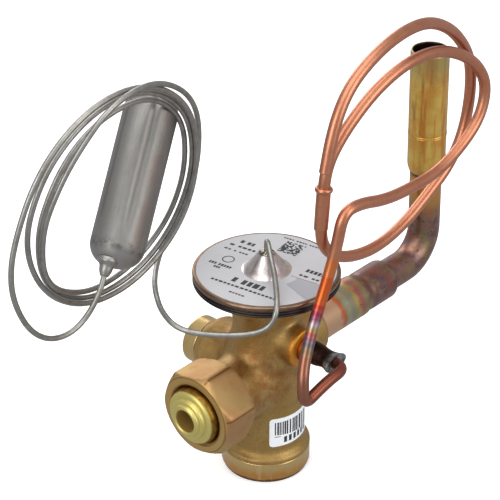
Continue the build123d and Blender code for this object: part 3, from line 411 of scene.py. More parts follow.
def outlet_copper(tone):
    """Outlet tube after brazing: film rings on the stub, mottled elbow, yellow upright with streaks."""
    shader, here = start("outlet_copper", roughness=0.36, coat=0.25)
    x, y, z = in_mm(here)
    mottle = blotches(here, 5.0, 4.0, 0.65)
    fine = blotches(here, 1.1, 3.0, 0.6, seed=3.0)
    jag = blotches(here, 1.5, 3.0, 0.6, seed=41.0)
    broad = blotches(here, 4.0, 2.0, 0.5, seed=5.0)
    along = x + 2.6 * (broad - 0.5) + 1.6 * (jag - 0.5) + 0.12 * (z - OUTLET_Z)
    base = mixed(rise(mottle, 0.35, 0.65), tone, srgb(150, 112, 84))
    hues = [
        (0.0, 26.6, srgb(222, 178, 140)),
        (28.0, 31.0, srgb(172, 172, 138)),
        (31.0, 33.0, srgb(150, 158, 136)),
        (33.0, 35.2, srgb(192, 172, 100)),
        (35.2, 36.8, srgb(176, 92, 96)),
        (36.8, 39.0, srgb(150, 136, 98)),
        (39.0, 41.5, srgb(122, 82, 76)),
        (41.5, 54.0, srgb(112, 82, 78)),
    ]
    base = film_over(base, along, hues, 0.85, 1.1)
    flare = blotches(here, 2.6, 3.0, 0.6, seed=43.0)
    base = mixed(patch(along, 26.5, 27.6, 0.5) * (0.45 + 0.55 * flare), base, srgb(226, 100, 34))
    base = mixed(patch(along, 27.0, 41.0, 2.0) * rise(flare, 0.52, 0.66) * 0.5, base, srgb(152, 146, 120))
    base = mixed(patch(along, 34.0, 37.5, 1.0) * rise(jag, 0.5, 0.62) * 0.6, base, srgb(206, 96, 92))
    # sleeve and elbow: red, purple and olive patches
    bend = rise(x, 41.0, 44.0) * (1.0 - rise(z, 56.0, 66.0))
    base = mixed(bend * rise(mottle, 0.2, 0.55) * 0.7, base, srgb(134, 106, 98))
    # each patch: its size, its seed, where its noise starts to show, its colour and its strength
    patches = [
        (7.0, 8.0, 0.48, srgb(150, 84, 66), 0.75), (4.0, 13.0, 0.48, srgb(112, 88, 96), 0.85),
        (5.0, 17.0, 0.5, srgb(142, 126, 86), 0.8), (2.6, 19.0, 0.56, srgb(168, 132, 112), 0.6),
        (1.8, 29.0, 0.54, srgb(88, 58, 54), 0.6),
    ]
    for size, seed, low, hue, strength in patches:
        spread = rise(blotches(here, size, 3.0, 0.6, seed=seed), low, low + 0.14)
        base = mixed(spread * bend * strength, base, hue)
    # upright: orange brown low down, then yellow with streaks, greener at the top
    tall = rise(z + 5.0 * (mottle - 0.5), 50.0, 60.0) * rise(x, 62.0, 64.0)
    gold = mixed(rise(mottle, 0.35, 0.7), srgb(238, 204, 106), srgb(224, 168, 78))
    low_gold = 1.0 - rise(z + 8.0 * (fine - 0.5), 62.0, 70.0)
    gold = mixed(low_gold * 0.8, gold, srgb(194, 134, 70))
    streak = blotches(here, 1.7, 2.0, 0.55, (1, 1, 12), seed=21.0)
    gold = stained(gold, streak, 0.5, 0.66, 0.8, srgb(214, 136, 58))
    thin_streak = blotches(here, 1.5, 2.0, 0.5, (1, 1, 14), seed=25.0)
    gold = stained(gold, thin_streak, 0.62, 0.72, 0.6, srgb(140, 92, 50))
    gold = stained(gold, fine, 0.6, 0.75, 0.4, srgb(170, 118, 62))
    gold = stained(gold, z + 6.0 * fine, 97.0, 106.0, 0.6, srgb(158, 152, 108))
    base = mixed(tall, base, gold)
    specks = rise(blotches(here, 1.0, 1.0, 0.5, seed=31.0), 0.72, 0.77)
    base = mixed(specks * 0.7, base, srgb(92, 48, 32))
    # painted shade on the inside of the opened end, whose axis leans back as it goes up
    axis_x = 71.44 - 0.03363 * (z - 65.2)
    inside = (1.0 - rise(span(x - axis_x, y), 4.95, 5.15)) * rise(z, 64.0, 66.0)
    base = mixed(inside, base, srgb(52, 34, 32))
    feed(shader, Base_Color=base, Roughness=0.3 + 0.22 * mottle)
    relief(shader, (fine, 0.04, 0.3), (mottle, 0.2, 0.12))


def burnt_copper():
    """Stub blackened by the torch, with grey braze metal on its flared mouth."""
    shader, here = start("burnt_copper", roughness=0.42)
    _, y, _ = in_mm(here)
    cloud = blotches(here, 2.2, 4.0, 0.65)
    base = mixed(rise(cloud, 0.42, 0.62), srgb(62, 38, 32), srgb(34, 28, 28))
    base = stained(base, blotches(here, 1.6, 3.0, 0.6, seed=4.0), 0.6, 0.72, 0.8, srgb(126, 56, 34))
    mouth = rise(0.0 - y + 1.6 * (cloud - 0.5), 22.6, 23.8)
    base = mixed(mouth, base, mixed(rise(cloud, 0.45, 0.6), srgb(150, 152, 150), srgb(92, 96, 98)))
    root = 1.0 - rise(0.0 - y + 1.2 * (cloud - 0.5), 14.4, 15.8)
    base = mixed(root, base, srgb(206, 120, 40))
    feed(shader, Base_Color=base, Roughness=0.3 + 0.3 * cloud)
    relief(shader, (cloud, 0.12, 0.3))


def braze():
    """Bright braze metal with dark flux in its hollows."""
    shader, here = start("braze", roughness=0.25)
    lumps = blotches(here, 0.7, 2.0, 0.6)
    base = mixed(rise(lumps, 0.4, 0.6), srgb(72, 60, 50), srgb(214, 206, 190))
    feed(shader, Base_Color=base, Roughness=0.2 + 0.3 * lumps)
    relief(shader, (lumps, 0.15, 0.6))


def seal_rubber():
    """Black rubber with a little dust on it."""
    shader, here = start("seal", metallic=0.0, roughness=0.7)
    dust = blotches(here, 0.8, 2.0, 0.6)
    base = mixed(dust, srgb(22, 22, 22), srgb(40, 38, 36))
    feed(shader, Base_Color=base, Roughness=0.6 + 0.2 * dust)
    relief(shader, (dust, 0.03, 0.3))


# ---------------------------------------------------------------- meshes
SHARP = math.radians(38)
UP = Vector((0, 0, 1))
INK_THICK = 0.02


def smooth(share):
    """An easy step from 0 to 1."""
    share = max(0.0, min(1.0, share))
    return share * share * (3 - 2 * share)


def eased(profile, steps=3):
    """Round the corners of a profile: a third number is the length to round over on each side of a point."""
    line = []
    count = len(profile)
    for k, point in enumerate(profile):
        if len(point) < 3 or k in (0, count - 1):
            line.append(Vector(point[:2]))
            continue
        here = Vector(point[:2])
        ends = []
        for other in (profile[k - 1], profile[k + 1]):
            way = Vector(other[:2]) - here
            ends.append(here + way.normalized() * min(point[2], way.length * 0.48))
        for j in range(steps + 1):
            t = j / steps
            line.append(ends[0].lerp(here, t).lerp(here.lerp(ends[1], t), t))
    return line


def frame_of(origin, axis, side=None):
    """A turn and shift that takes local z to the axis and local x to the side, at an origin in mm."""
    z = Vector(axis).normalized()
    rough = Vector(side or (UP if abs(z.z) < 0.9 else (1, 0, 0)))
    x = (rough - z * rough.dot(z)).normalized()
    y = z.cross(x)
    turn = Matrix((x, y, z)).transposed().to_4x4()
    turn.translation = Vector(origin) * MM
    return turn


UPRIGHT = frame_of((0, 0, 0), UP)


def turned(name, finish, profile, place, sides=96, ring=True, press=None, sharp=SHARP):
    """Turn a profile of (radius, height) in mm about a place's z axis. ring closes the profile on itself.

    The points carry their height as along and their way round, from 0 to 0.5, as around. press(angle, height,
    radius) gives another radius.
    """
    bm = bmesh.new()
    along = bm.verts.layers.float.new("along")
    around = bm.verts.layers.float.new("around")
    rows = []
    for radius, height in profile:
        row = []
        for k in range(sides if radius > 1e-6 else 1):
            angle = 2 * math.pi * k / sides
            out = press(angle, height, radius) if press and radius > 1e-6 else radius
            vert = bm.verts.new(place @ (Vector((out * math.cos(angle), out * math.sin(angle), height)) * MM))
            vert[along] = height
            vert[around] = min(k, sides - k) / sides
            row.append(vert)
        rows.append(row)
    pairs = list(zip(rows, rows[1:]))
    if ring:
        pairs.append((rows[-1], rows[0]))
    for low, high in pairs:
        for k in range(sides):
            after = k + 1
            quad = (low[k % len(low)], low[after % len(low)], high[after % len(high)], high[k % len(high)])
            corners = list(dict.fromkeys(quad))
            if len(corners) > 2:
                bm.faces.new(corners).smooth = True
    return as_object(bm, name, finish, sharp)


def loop_rows(bm, rows):
    """Skin rows of points, each row a closed loop in metres, and close both ends."""
    made = [[bm.verts.new(point) for point in row] for row in rows]
    count = len(made[0])
    for low, high in zip(made, made[1:]):
        for k in range(count):
            bm.faces.new((low[k], low[(k + 1) % count], high[(k + 1) % count], high[k])).smooth = True
    for row in (made[0], made[-1]):
        bm.faces.new(row)


def bar(bm, centre, across, up, width, height):
    """A thin printed mark: a flat block whose underside is centred on a point in mm."""
    across, up, out = across * (width / 2), up * (height / 2), UP * INK_THICK
    low = [centre - across - up, centre + across - up, centre + across + up, centre - across + up]
    verts = [bm.verts.new(point * MM) for point in low + [point + out for point in low]]
    for corners in ((3, 2, 1, 0), (4, 5, 6, 7), (0, 1, 5, 4), (1, 2, 6, 5), (2, 3, 7, 6), (3, 0, 4, 7)):
        bm.faces.new([verts[c] for c in corners])


def as_object(bm, name, finish, sharp=SHARP):
    """Finish a bmesh as an object: outward faces, crisp edges, flat faces kept flat in the shading."""
    bmesh.ops.recalc_face_normals(bm, faces=bm.faces)
    mesh = bpy.data.meshes.new(name)
    bm.to_mesh(mesh)
    bm.free()
    mesh.materials.append(FINISHES[finish])
    mesh.set_sharp_from_angle(angle=sharp)
    piece = bpy.data.objects.new(name, mesh)
    bpy.context.scene.collection.objects.link(piece)
    even = piece.modifiers.new("even", "WEIGHTED_NORMAL")
    even.keep_sharp = True
    return baked(piece)


def baked(piece):
    """Replace a piece's mesh by its evaluated mesh, and drop its modifiers."""
    graph = bpy.context.evaluated_depsgraph_get()
    graph.update()
    shown = piece.evaluated_get(graph)
    mesh = bpy.data.meshes.new_from_object(shown, preserve_all_data_layers=True, depsgraph=graph)
    mesh.name = piece.name
    piece.modifiers.clear()
    piece.data = mesh
    return piece


def fixed(piece, slot, *nodes, body="valve"):
    """Tie a finished piece to its body and hide the solids it stands for. The slot is not used."""
    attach(piece, body)
    if nodes:
        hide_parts(*nodes)


# ---------------------------------------------------------------- geometry node groups
def group(name, *inputs):
    """A node group for a modifier, and the identifiers of its inputs."""
    tree = bpy.data.node_groups.new(name, "GeometryNodeTree")
    tree.interface.new_socket("Geometry", in_out="INPUT", socket_type="NodeSocketGeometry")
    idents = {}
    for label, kind in inputs:
        idents[label] = tree.interface.new_socket(label, in_out="INPUT", socket_type=kind).identifier
    tree.interface.new_socket("Geometry", in_out="OUTPUT", socket_type="NodeSocketGeometry")
    source = tree.nodes.new("NodeGroupInput")
    given = {label: Val(tree, source.outputs[label]) for label, _ in inputs}
    return tree, given, idents


def close_group(tree, shape, finish):
    """End a group: realise instances, set the material, and give the result out."""
    real = shape.node("GeometryNodeRealizeInstances", {0: shape})
    done = real.node("GeometryNodeSetMaterial", {"Geometry": real, "Material": finish})
    sink = tree.nodes.new("NodeGroupOutput")
    tree.links.new(done.socket, sink.inputs[0])


def run_group(name, tree, idents, values):
    """Make an object from a group by a modifier, then bake it and clear the modifier."""
    piece = bpy.data.objects.new(name, bpy.data.meshes.new(name))
    bpy.context.scene.collection.objects.link(piece)
    modifier = piece.modifiers.new("build", "NODES")
    modifier.node_group = tree
    for label, value in values.items():
        modifier[idents[label]] = value
    return baked(piece)


def tube_group():
    """A round tube along a curve object. It stores the length so far, in mm, as the attribute along."""
    tree, given, idents = group(
        "tube_along_curve",
        ("Path", "NodeSocketObject"), ("Radius", "NodeSocketFloat"), ("Step", "NodeSocketFloat"),
        ("Sides", "NodeSocketInt"), ("Offset", "NodeSocketFloat"), ("Finish", "NodeSocketMaterial"),
    )
    path = given["Path"]
    curve = path.node("GeometryNodeObjectInfo", {0: path}, out="Geometry")
    even = curve.node("GeometryNodeResampleCurve", {"Curve": curve, "Length": given["Step"]}, mode="LENGTH")
    so_far = even.node("GeometryNodeSplineParameter", out="Length")
    marked = even.node(
        "GeometryNodeStoreNamedAttribute",
        {"Geometry": even, "Name": "along", "Value": so_far * 1000.0 + given["Offset"]},
        data_type="FLOAT", domain="POINT",
    )
    ins = {"Resolution": given["Sides"], "Radius": given["Radius"]}
    circle = even.node("GeometryNodeCurvePrimitiveCircle", ins)
    skin = even.node("GeometryNodeCurveToMesh", {"Curve": marked, "Profile Curve": circle, "Fill Caps": True})
    close_group(tree, skin.node("GeometryNodeSetShadeSmooth", {0: skin}), given["Finish"])
    return tree, idents


def bent_tube(name, route, radius, finish, sides, step=0.8, offset=0.0):
    """A tube whose middle line is the smooth curve of a route in mm."""
    curve = bpy.data.curves.new(name + "_route", "CURVE")
    curve.dimensions = "3D"
    spline = curve.splines.new("NURBS")
    spline.points.add(len(route) - 1)
    for point, place in zip(spline.points, route):
        point.co = (*(Vector(place) * MM), 1.0)
    spline.order_u = 3
    spline.use_endpoint_u = True
    curve.resolution_u = 16
    guide = bpy.data.objects.new(name + "_route", curve)
    bpy.context.scene.collection.objects.link(guide)
    tree, idents = tube_group()
    piece = run_group(name, tree, idents, {
        "Path": guide, "Radius": radius * MM, "Step": step * MM, "Sides": sides, "Offset": offset,
        "Finish": FINISHES[finish],
    })
    bpy.data.objects.remove(guide)
    bpy.data.curves.remove(curve)
    bpy.data.node_groups.remove(tree)
    return piece


def joined(name, finishes, *pieces):
    """One object from several, keeping their finishes in the given order."""
    order = {FINISHES[f].name: k for k, f in enumerate(finishes)}
    mesh = bpy.data.meshes.new(name)
    whole = bmesh.new()
    for piece in pieces:
        own = piece.data
        index = [order.get(m.name, 0) if m else 0 for m in own.materials] or [0]
        before = len(whole.faces)
        whole.from_mesh(own)
        whole.faces.ensure_lookup_table()
        for face in whole.faces[before:]:
            face.material_index = index[min(face.material_index, len(index) - 1)]
        bpy.data.objects.remove(piece)
    bmesh.ops.recalc_face_normals(whole, faces=whole.faces)
    whole.to_mesh(mesh)
    whole.free()
    for item in finishes:
        mesh.materials.append(FINISHES[item])
    mesh.set_sharp_from_angle(angle=SHARP)
    piece = bpy.data.objects.new(name, mesh)
    bpy.context.scene.collection.objects.link(piece)
    return piece


# ---------------------------------------------------------------- the forging
def body_group():
    """The forging as one smooth form: a column and four bosses melted together, then drilled."""
    tree, given, idents = group("forging", ("Melt", "NodeSocketFloat"), ("Finish", "NodeSocketMaterial"))
    spot = Val(tree, tree.nodes.new("GeometryNodeInputPosition").outputs[0])
    x, y, z = in_mm(spot)
    column, inlet, outlet = span(x, y), span(y, z - INLET_Z), span(y, z - OUTLET_Z)
    setting, equaliser = span(x, z - SETTING_Z), span(x, z - EQUALISER_Z)

    def round_max(a, b, ease):
        """The larger of two values, with an easy change over between them."""
        return a.maths("SMOOTH_MAX", b, ease)

    def rod(across, along, radius, start_at, end_at):
        """How far a place is outside a rod: below 0 inside it."""
        ends = (start_at - along).maths("MAXIMUM", along - end_at)
        return (across - radius).maths("MAXIMUM", ends)

    solid = column - (COLUMN_R - 1.8 * rise(z, 37.0, 47.0) + 1.3 * rise(z, 47.0, 56.5))
    # each boss: how far a place is outside its side, past its end, and past the column's axis
    shoulder = 2.1 * rise(21.0 - y, -0.6, 3.4)
    bosses = [
        (inlet - 9.5, -16.6 - x, x), (outlet - 8.6, x - 17.4, -x),
        (setting - 7.6 - shoulder, y - 21.0, -y), (equaliser - 5.7, -14.1 - y, y),
    ]
    for side, end, root in bosses:
        boss = round_max(round_max(side, end, 1.3), root, 0.2)
        solid = solid.maths("SMOOTH_MIN", boss, given["Melt"])
    spigot = rod(inlet, x, 6.25, -21.0, 0.0)
    solid = solid.maths("MINIMUM", spigot)
    top, foot = 57.0, 5.6
    solid = round_max(round_max(solid, z - top, 0.6), foot - z, 0.1)
    bores = [
        (column, z, 7.65, 5.0, 32.8),  # spring chamber
        (column, z, 4.05, 32.0, 35.2),  # seat
        (column, z, 5.0, 35.2, 40.5),  # outlet chamber
        (column, z, 1.31, 40.0, 46.5),  # guide of the push rod
        (column, z, 7.0, 46.0, 58.0),  # balance chamber
        (column, z, 8.0, 51.0, 58.0),  # place of the head's hub
        (outlet, x, 3.0, 4.8, 10.5),
        (outlet, x, 4.2, 10.0, 13.0),
        (outlet, x, 6.4, 12.4, 18.0),  # socket of the stub
        (inlet, x, 4.25, -22.0, -6.5),
        (setting, y, 2.56, 6.5, 10.6),
        (setting, y, 4.15, 10.5, 15.5),
        (setting, y, 5.05, 15.2, 22.0),  # bore of the cap
        (equaliser, y, 3.22, -15.0, -10.1),  # socket of the equaliser stub
        (equaliser, y, 1.2, -11.0, -4.0),
    ]
    for bore in bores:
        solid = solid.maths("MAXIMUM", -rod(*bore))
    low_corner, high_corner, pitch = (-21.6, -14.7, 5.0), (18.0, 21.6, 57.6), 0.4
    cells = [int((high - low) / pitch) for low, high in zip(low_corner, high_corner)]
    cloud = solid.node("GeometryNodeVolumeCube", {
        "Density": -solid, "Background": -1.0,
        "Min": tuple(c * MM for c in low_corner), "Max": tuple(c * MM for c in high_corner),
        "Resolution X": cells[0], "Resolution Y": cells[1], "Resolution Z": cells[2],
    })
    skin = cloud.node("GeometryNodeVolumeToMesh", {"Volume": cloud, "Threshold": 0.0})
    close_group(tree, skin.node("GeometryNodeSetShadeSmooth", {0: skin}), given["Finish"])
    return tree, idents


def make_body(sizes):
    """The forging, the turned band round its foot and the forged flare over that band."""
    tree, idents = body_group()
    forging = run_group("forging", tree, idents, {"Melt": sizes.melt, "Finish": FINISHES["forged_brass"]})
    bpy.data.node_groups.remove(tree)
    outer = sizes.foot_width / MM / 2
    band = turned("foot_band", "foot_brass", eased([
        (9.05, 0.0), (outer - 0.5, 0.0, 0.2), (outer - 0.5, 0.75, 0.12), (outer - 0.1, 1.0, 0.15),
        (outer - 0.04, 1.3), (outer - 0.04, 6.1, 0.1), (outer - 0.16, 6.2, 0.05), (outer - 0.16, 6.3),
        (9.05, 6.3),
    ]), UPRIGHT, sides=160)
    flare = turned("flare", "forged_brass", eased([
        (9.3, 6.2), (outer - 0.1, 6.2, 0.1), (outer + 0.02, 6.5, 0.3), (outer - 0.05, 7.5, 0.6),
        (outer - 0.9, 8.3, 0.7), (11.25, 9.1, 0.7), (11.04, 10.4), (9.3, 10.4),
    ], 5), UPRIGHT, sides=160)
    piece = joined("forged_body", ["forged_brass", "foot_brass"], forging, band, flare)
    fixed(piece, "forged_brass", "valve_body")


# ---------------------------------------------------------------- turned pieces
def make_cap(sizes):
    """Cap on the setting port, turned smooth, with a small chamfer round its face."""
    outer = sizes.cap_width / MM / 2
    outside = eased([
        (3.6, -5.0), (4.7, -5.0, 0.3), (5.0, -4.6), (5.0, 0.0), (outer - 0.3, 0.0, 0.15), (outer, 0.3, 0.15),
        (outer, 4.35, 0.3), (outer - 0.6, 5.0, 0.3), (2.6, 5.0, 0.1), (2.4, 4.8, 0.1), (0.0, 4.8),
    ])
    inside = [(0.0, 2.25), (3.6, 2.25)]
    place = frame_of((0, 21.35, SETTING_Z), (0, 1, 0))
    cap = turned("port_cap", "cap_brass", outside + inside, place, sides=128)
    fixed(cap, "brass", "setting_cap", body="cap")


def make_nose(sizes):
    """Stepped nose in the nut: rounded shoulder, raised collar, lip and bore."""
    hole = sizes.nose_hole / MM / 2
    profile = eased([
        (hole, -3.0), (4.15, -3.0), (4.15, 0.0), (7.6, 0.0, 0.2), (8.2, 0.6, 0.3), (8.2, 8.3, 0.3),
        (7.95, 9.1, 0.4), (7.75, 9.3, 0.15), (7.6, 9.85, 0.4), (6.9, 10.2, 0.4), (5.95, 10.15, 0.2),
        (5.8, 10.95, 0.3), (5.2, 11.25, 0.25), (4.75, 11.2, 0.12), (4.6, 11.75, 0.25), (4.2, 12.1, 0.3),
        (hole + 0.4, 12.15, 0.25), (hole, 11.7, 0.3),
    ])
    place = frame_of((-21.0, 0, INLET_Z), (-1, 0, 0))
    nose = turned("stepped_nose", "nose_brass", profile, place, sides=128)
    fixed(nose, "nose_brass", "inlet_nose")


def make_nut(sizes):
    """Union nut: a hexagon whose corners are turned off at both ends, with a real thread in its bore."""
    flat, corner = sizes.nut_width / MM / 2, sizes.nut_corners / MM / 2
    # how far its ends stand from the column's axis
    front, back = 29.0, 17.2
    # the thread's pitch and radii, the neck behind it, and how softly flats, corners and turned ends meet
    pitch, crest, root, neck, soft = 1.15, 8.62, 9.15, 6.35, 0.16

    def hexagon(angle, height, radius):
        """The radius with the thread's wave in the bore, and with the flats and corners outside."""
        if radius < root + 0.05:
            wave = (height / pitch - angle / (2 * math.pi)) % 1.0
            depth = 0.0 if radius < 8.0 else max(0.0, 1.0 - abs(wave - 0.5) * 3.2)
            return radius + (root - crest) * depth
        off = (angle + math.pi / 6) % (math.pi / 3) - math.pi / 6
        limits = (radius, flat / math.cos(math.pi / 6 - abs(off)), corner)
        low = min(limits)
        return low - soft * math.log(sum(math.exp((low - value) / soft) for value in limits))

    long = front - back
    outline = [
        (9.35, -0.02), (flat - 0.55, 0.0), (flat - 0.2, 0.12), (flat + 0.2, 0.3), (flat + 0.7, 0.72),
        (flat + 1.4, 1.5),
        *[(flat + 2.4, 1.5 + (long - 3.0) * k / 8) for k in range(1, 8)],
        (flat + 1.6, long - 1.5), (flat + 0.8, long - 0.8), (flat + 0.3, long - 0.36),
        (flat - 0.05, long - 0.1), (flat - 0.45, long), (9.4, long),
    ]
    neck_end = 3.0
    threaded = long - neck_end - 0.6
    steps = int(threaded / pitch * 6)
    bore = [(crest + 0.3, long - 0.25)]
    bore += [(crest, long - 0.5 - threaded * k / steps) for k in range(steps + 1)]
    bore += [(crest, neck_end), (neck, neck_end), (neck, 0.0)]
    turn = math.radians(NUT_TURN)
    place = frame_of((-back, 0, INLET_Z), (-1, 0, 0), (0.0, math.cos(turn), math.sin(turn)))
    nut_sharp = math.radians(30)
    profile = outline + bore
    nut = turned("hex_nut", "nut_brass", profile, place, sides=216, press=hexagon, sharp=nut_sharp)
    fixed(nut, "nut_brass", "inlet_nut", body="nut")


# ---------------------------------------------------------------- diaphragm head
# height of the flat that the round label lies on
LABEL_BED = 63.2


def make_head(sizes):
    """Lower plate with its weld grooves, cover with its dome, and the bead round the capillary."""
    rim = sizes.head_width / MM / 2
    plate = turned("head_plate", "head_steel", eased([
        (4.0, 51.0), (7.9, 51.0), (7.9, 57.0), (10.3, 57.0, 0.5), (18.0, 59.45, 0.8), (rim - 0.7, 59.75, 0.3),
        (rim - 0.1, 60.1, 0.25), (rim, 60.45, 0.15), (rim - 0.4, 60.7, 0.16), (rim - 0.05, 60.95, 0.15),
        (rim - 0.05, 61.25, 0.15), (rim - 0.5, 61.5, 0.2), (rim - 0.5, 61.7), (12.5, 61.7), (11.3, 59.6),
        (4.0, 59.6),
    ]), UPRIGHT, sides=192)
    fixed(plate, "head_steel", "head_base")
    cover = turned("head_cover_dome", "head_steel", eased([
        (rim - 0.5, 61.9), (rim - 0.1, 61.95, 0.1), (rim, 62.2, 0.2), (rim, 62.85, 0.35),
        (rim - 0.35, LABEL_BED, 0.3), (6.8, LABEL_BED, 0.5), (5.8, 63.9, 0.9), (4.0, 66.1, 2.0),
        (2.75, 67.7, 0.8), (2.3, 68.3), (0.8, 68.3), (0.8, 66.3), (4.9, 62.45), (17.0, 62.45), (17.5, 61.9),
    ]), UPRIGHT, sides=192)
    fixed(cover, "head_steel", "head_cover")
    random.seed(4)
    lumps = [random.uniform(-0.16, 0.2) for _ in range(9)]

    def lumpy(angle, height, radius):
        """The radius with swellings round the bead, none at its bore."""
        k = angle / (2 * math.pi) * len(lumps)
        low, share = int(k), smooth(k - int(k))
        swell = lumps[low % len(lumps)] * (1 - share) + lumps[(low + 1) % len(lumps)] * share
        return radius + swell * max(0.0, min(1.0, (radius - 0.9) / 0.9))

    bead = turned("capillary_braze", "braze", eased([
        (0.8, 68.2), (2.0, 68.25, 0.1), (2.05, 68.55, 0.25), (1.55, 69.0, 0.3), (0.95, 69.2, 0.15),
        (0.8, 69.2),
    ], 4), UPRIGHT, sides=48, press=lumpy)
    fixed(bead, "braze", "braze_ring")


# ---------------------------------------------------------------- labels
# the direction of the printed rows, the direction across them, and the height of the print
READ = math.radians(-80.7)
ALONG = Vector((math.cos(READ), math.sin(READ), 0))
UPWARD = Vector((-math.sin(READ), math.cos(READ), 0))
PRINT_Z = LABEL_BED + 0.12


def dashes(bm, x, y, length, height, bold):
    """A row of short plain marks, as long as a printed line. Bold rows are tall, the others are low."""
    pen = -length / 2
    while pen < length / 2 - 0.3 * height:
        width = min(random.choice((0.45, 0.5, 0.55, 0.65)) * height, length / 2 - pen)
        middle = Vector((x, y, PRINT_Z)) + ALONG * (pen + width / 2)
        bar(bm, middle, ALONG, UPWARD, width, height * (0.9 if bold else 0.42))
        pen += width + random.choice((0.2, 0.2, 0.22, 0.22, 0.7)) * height


def make_head_label(sizes):
    """Round film label with a lap joint, and generic printed marks on it."""
    outer, film_top = sizes.label_width / MM / 2, LABEL_BED + 0.1
    ring = [
        (6.85, LABEL_BED), (6.85, film_top), (outer - 0.05, film_top), (outer, film_top - 0.04),
        (outer, LABEL_BED),
    ]
    fixed(turned("round_label", "label_film", ring, UPRIGHT, sides=160), "label_foil", "head_label")
    # the lap is a second thickness of film between two angles
    bm = bmesh.new()
    low, high, steps = math.radians(-106.0), math.radians(-79.0), 18
    inner_r, outer_r = 9.6, outer - 0.1
    rows = []
    for height in (film_top - 0.01, film_top + 0.03):
        arc = [(inner_r, low + (high - low) * k / steps) for k in range(steps + 1)]
        arc += [(outer_r, high + (low - high) * k / steps) for k in range(steps + 1)]
        rows.append([Vector((r * math.cos(a), r * math.sin(a), height)) * MM for r, a in arc])
    loop_rows(bm, rows)
    fixed(as_object(bm, "label_lap", "label_lap"), "label_foil")
    bm = bmesh.new()
    random.seed(11)
    # each row of marks: its middle, its length, its height, and whether it is bold
    for row in (
        (6.7, 12.7, 4.6, 1.6, True), (4.0, 12.2, 8.4, 2.0, False), (1.4, 12.2, 8.0, 1.5, False),
        (-6.8, 10.7, 7.2, 1.15, True), (-8.3, 10.4, 2.4, 1.0, True), (-12.0, -2.6, 20.8, 1.8, False),
        (-9.2, -2.3, 11.0, 2.5, True), (-15.0, -3.4, 6.0, 1.3, False), (16.9, 1.9, 11.4, 1.2, False),
        (6.9, -11.6, 5.8, 1.7, True), (4.0, -12.2, 7.0, 1.9, False),
    ):
        dashes(bm, *row)
    # a plain ring mark
    ring_centre, ring_r, parts = Vector((-3.3, 11.0, PRINT_Z)), 1.6, 24
    for k in range(parts):
        angle = 2 * math.pi * k / parts
        way = Vector((math.cos(angle), math.sin(angle), 0))
        bar(bm, ring_centre + way * ring_r, way, UP.cross(way), 0.3, 0.45)
    # a square of random cells
    cells, cell = 13, 6.0 / 13
    corner = Vector((12.6, 1.9, PRINT_Z)) - (ALONG + UPWARD) * cells * cell / 2
    for row in range(cells):
        for column in range(cells):
            if random.random() < 0.52:
                spot = corner + (ALONG * (column + 0.5) + UPWARD * (row + 0.5)) * cell
                bar(bm, spot, ALONG, UPWARD, cell, cell)
    # the dark line of the lap joint
    edge = Vector((math.cos(high), math.sin(high), 0))
    bar(bm, edge * 11.6 + UP * (film_top + 0.03), edge, UP.cross(edge), 8.0, 0.1)
    fixed(as_object(bm, "label_marks", "ink"), "seal")


def make_body_label(sizes):
    """Small paper label bent round the column, with plain bars."""
    # the way that its middle faces and the height of its lower edge
    middle, bottom = math.radians(-94.0), 11.5
    half, height, corner, thick = sizes.tag_width / MM / 2, 9.5, 1.0, 0.12

    def bent(across, up, lift):
        """A point on the label, lifted that far off the column."""
        angle, reach = middle + across / COLUMN_R, COLUMN_R + lift
        return Vector((reach * math.cos(angle), reach * math.sin(angle), bottom + up)) * MM

    def sheet(bm, strips, under, over):
        """Skin strips, each (across, low end, high end), between two lifts off the column."""
        loop_rows(bm, [
            [
                bent(across, low, under), bent(across, low, over),
                bent(across, high, over), bent(across, high, under),
            ]
            for across, low, high in strips
        ])

    def block(bm, left, wide, low, high):
        """A printed bar on the paper."""
        strips = [(left + wide * step / 2, low, high) for step in range(3)]
        sheet(bm, strips, thick - 0.01, thick + 0.02)

    # strips across the label keep it round, and stand closer where its corners are rounded
    flat_half = half - corner
    rounding = [flat_half + corner * math.cos(math.pi / 2 * k / 8) for k in range(9)]
    parts = int(2 * flat_half / 0.5)
    straight = [flat_half * (2 * k / parts - 1) for k in range(parts)]
    strips = []
    for across in sorted({round(a, 4) for a in (*rounding, *(-a for a in rounding), *straight)}):
        past = max(0.0, abs(across) - flat_half)
        drop = corner - math.sqrt(max(0.0, corner * corner - past * past))
        strips.append((across, drop, height - drop))
    bm = bmesh.new()
    sheet(bm, strips, 0.0, thick)
    fixed(as_object(bm, "bar_label", "paper"), "paper", "body_label")
    bm = bmesh.new()
    random.seed(8)
    pen = 1.5 - half
    while pen < half - 1.4:
        wide = random.choice((0.2, 0.34, 0.34, 0.5, 0.8))
        block(bm, pen, wide, 4.1 - 0.1 * (pen + half), 8.2)
        pen += wide + random.choice((0.2, 0.2, 0.36, 0.5))
    pen = 4.3 - half
    while pen < half - 1.6:
        block(bm, pen, 0.95, 0.9, 2.9)
        pen += 1.6
    for k in range(5):
        block(bm, 1.5 - half + 0.36 * k, 0.2, 3.1, 3.45)
    fixed(as_object(bm, "bar_marks", "ink"), "seal")


# ---------------------------------------------------------------- outlet
ELBOW_CORNER = Vector((72.4, 0, OUTLET_Z))
LEAN = Vector((-2.3, 0, 68.4)).normalized()
SOCKET_FOOT = ELBOW_CORNER + LEAN * 28.6


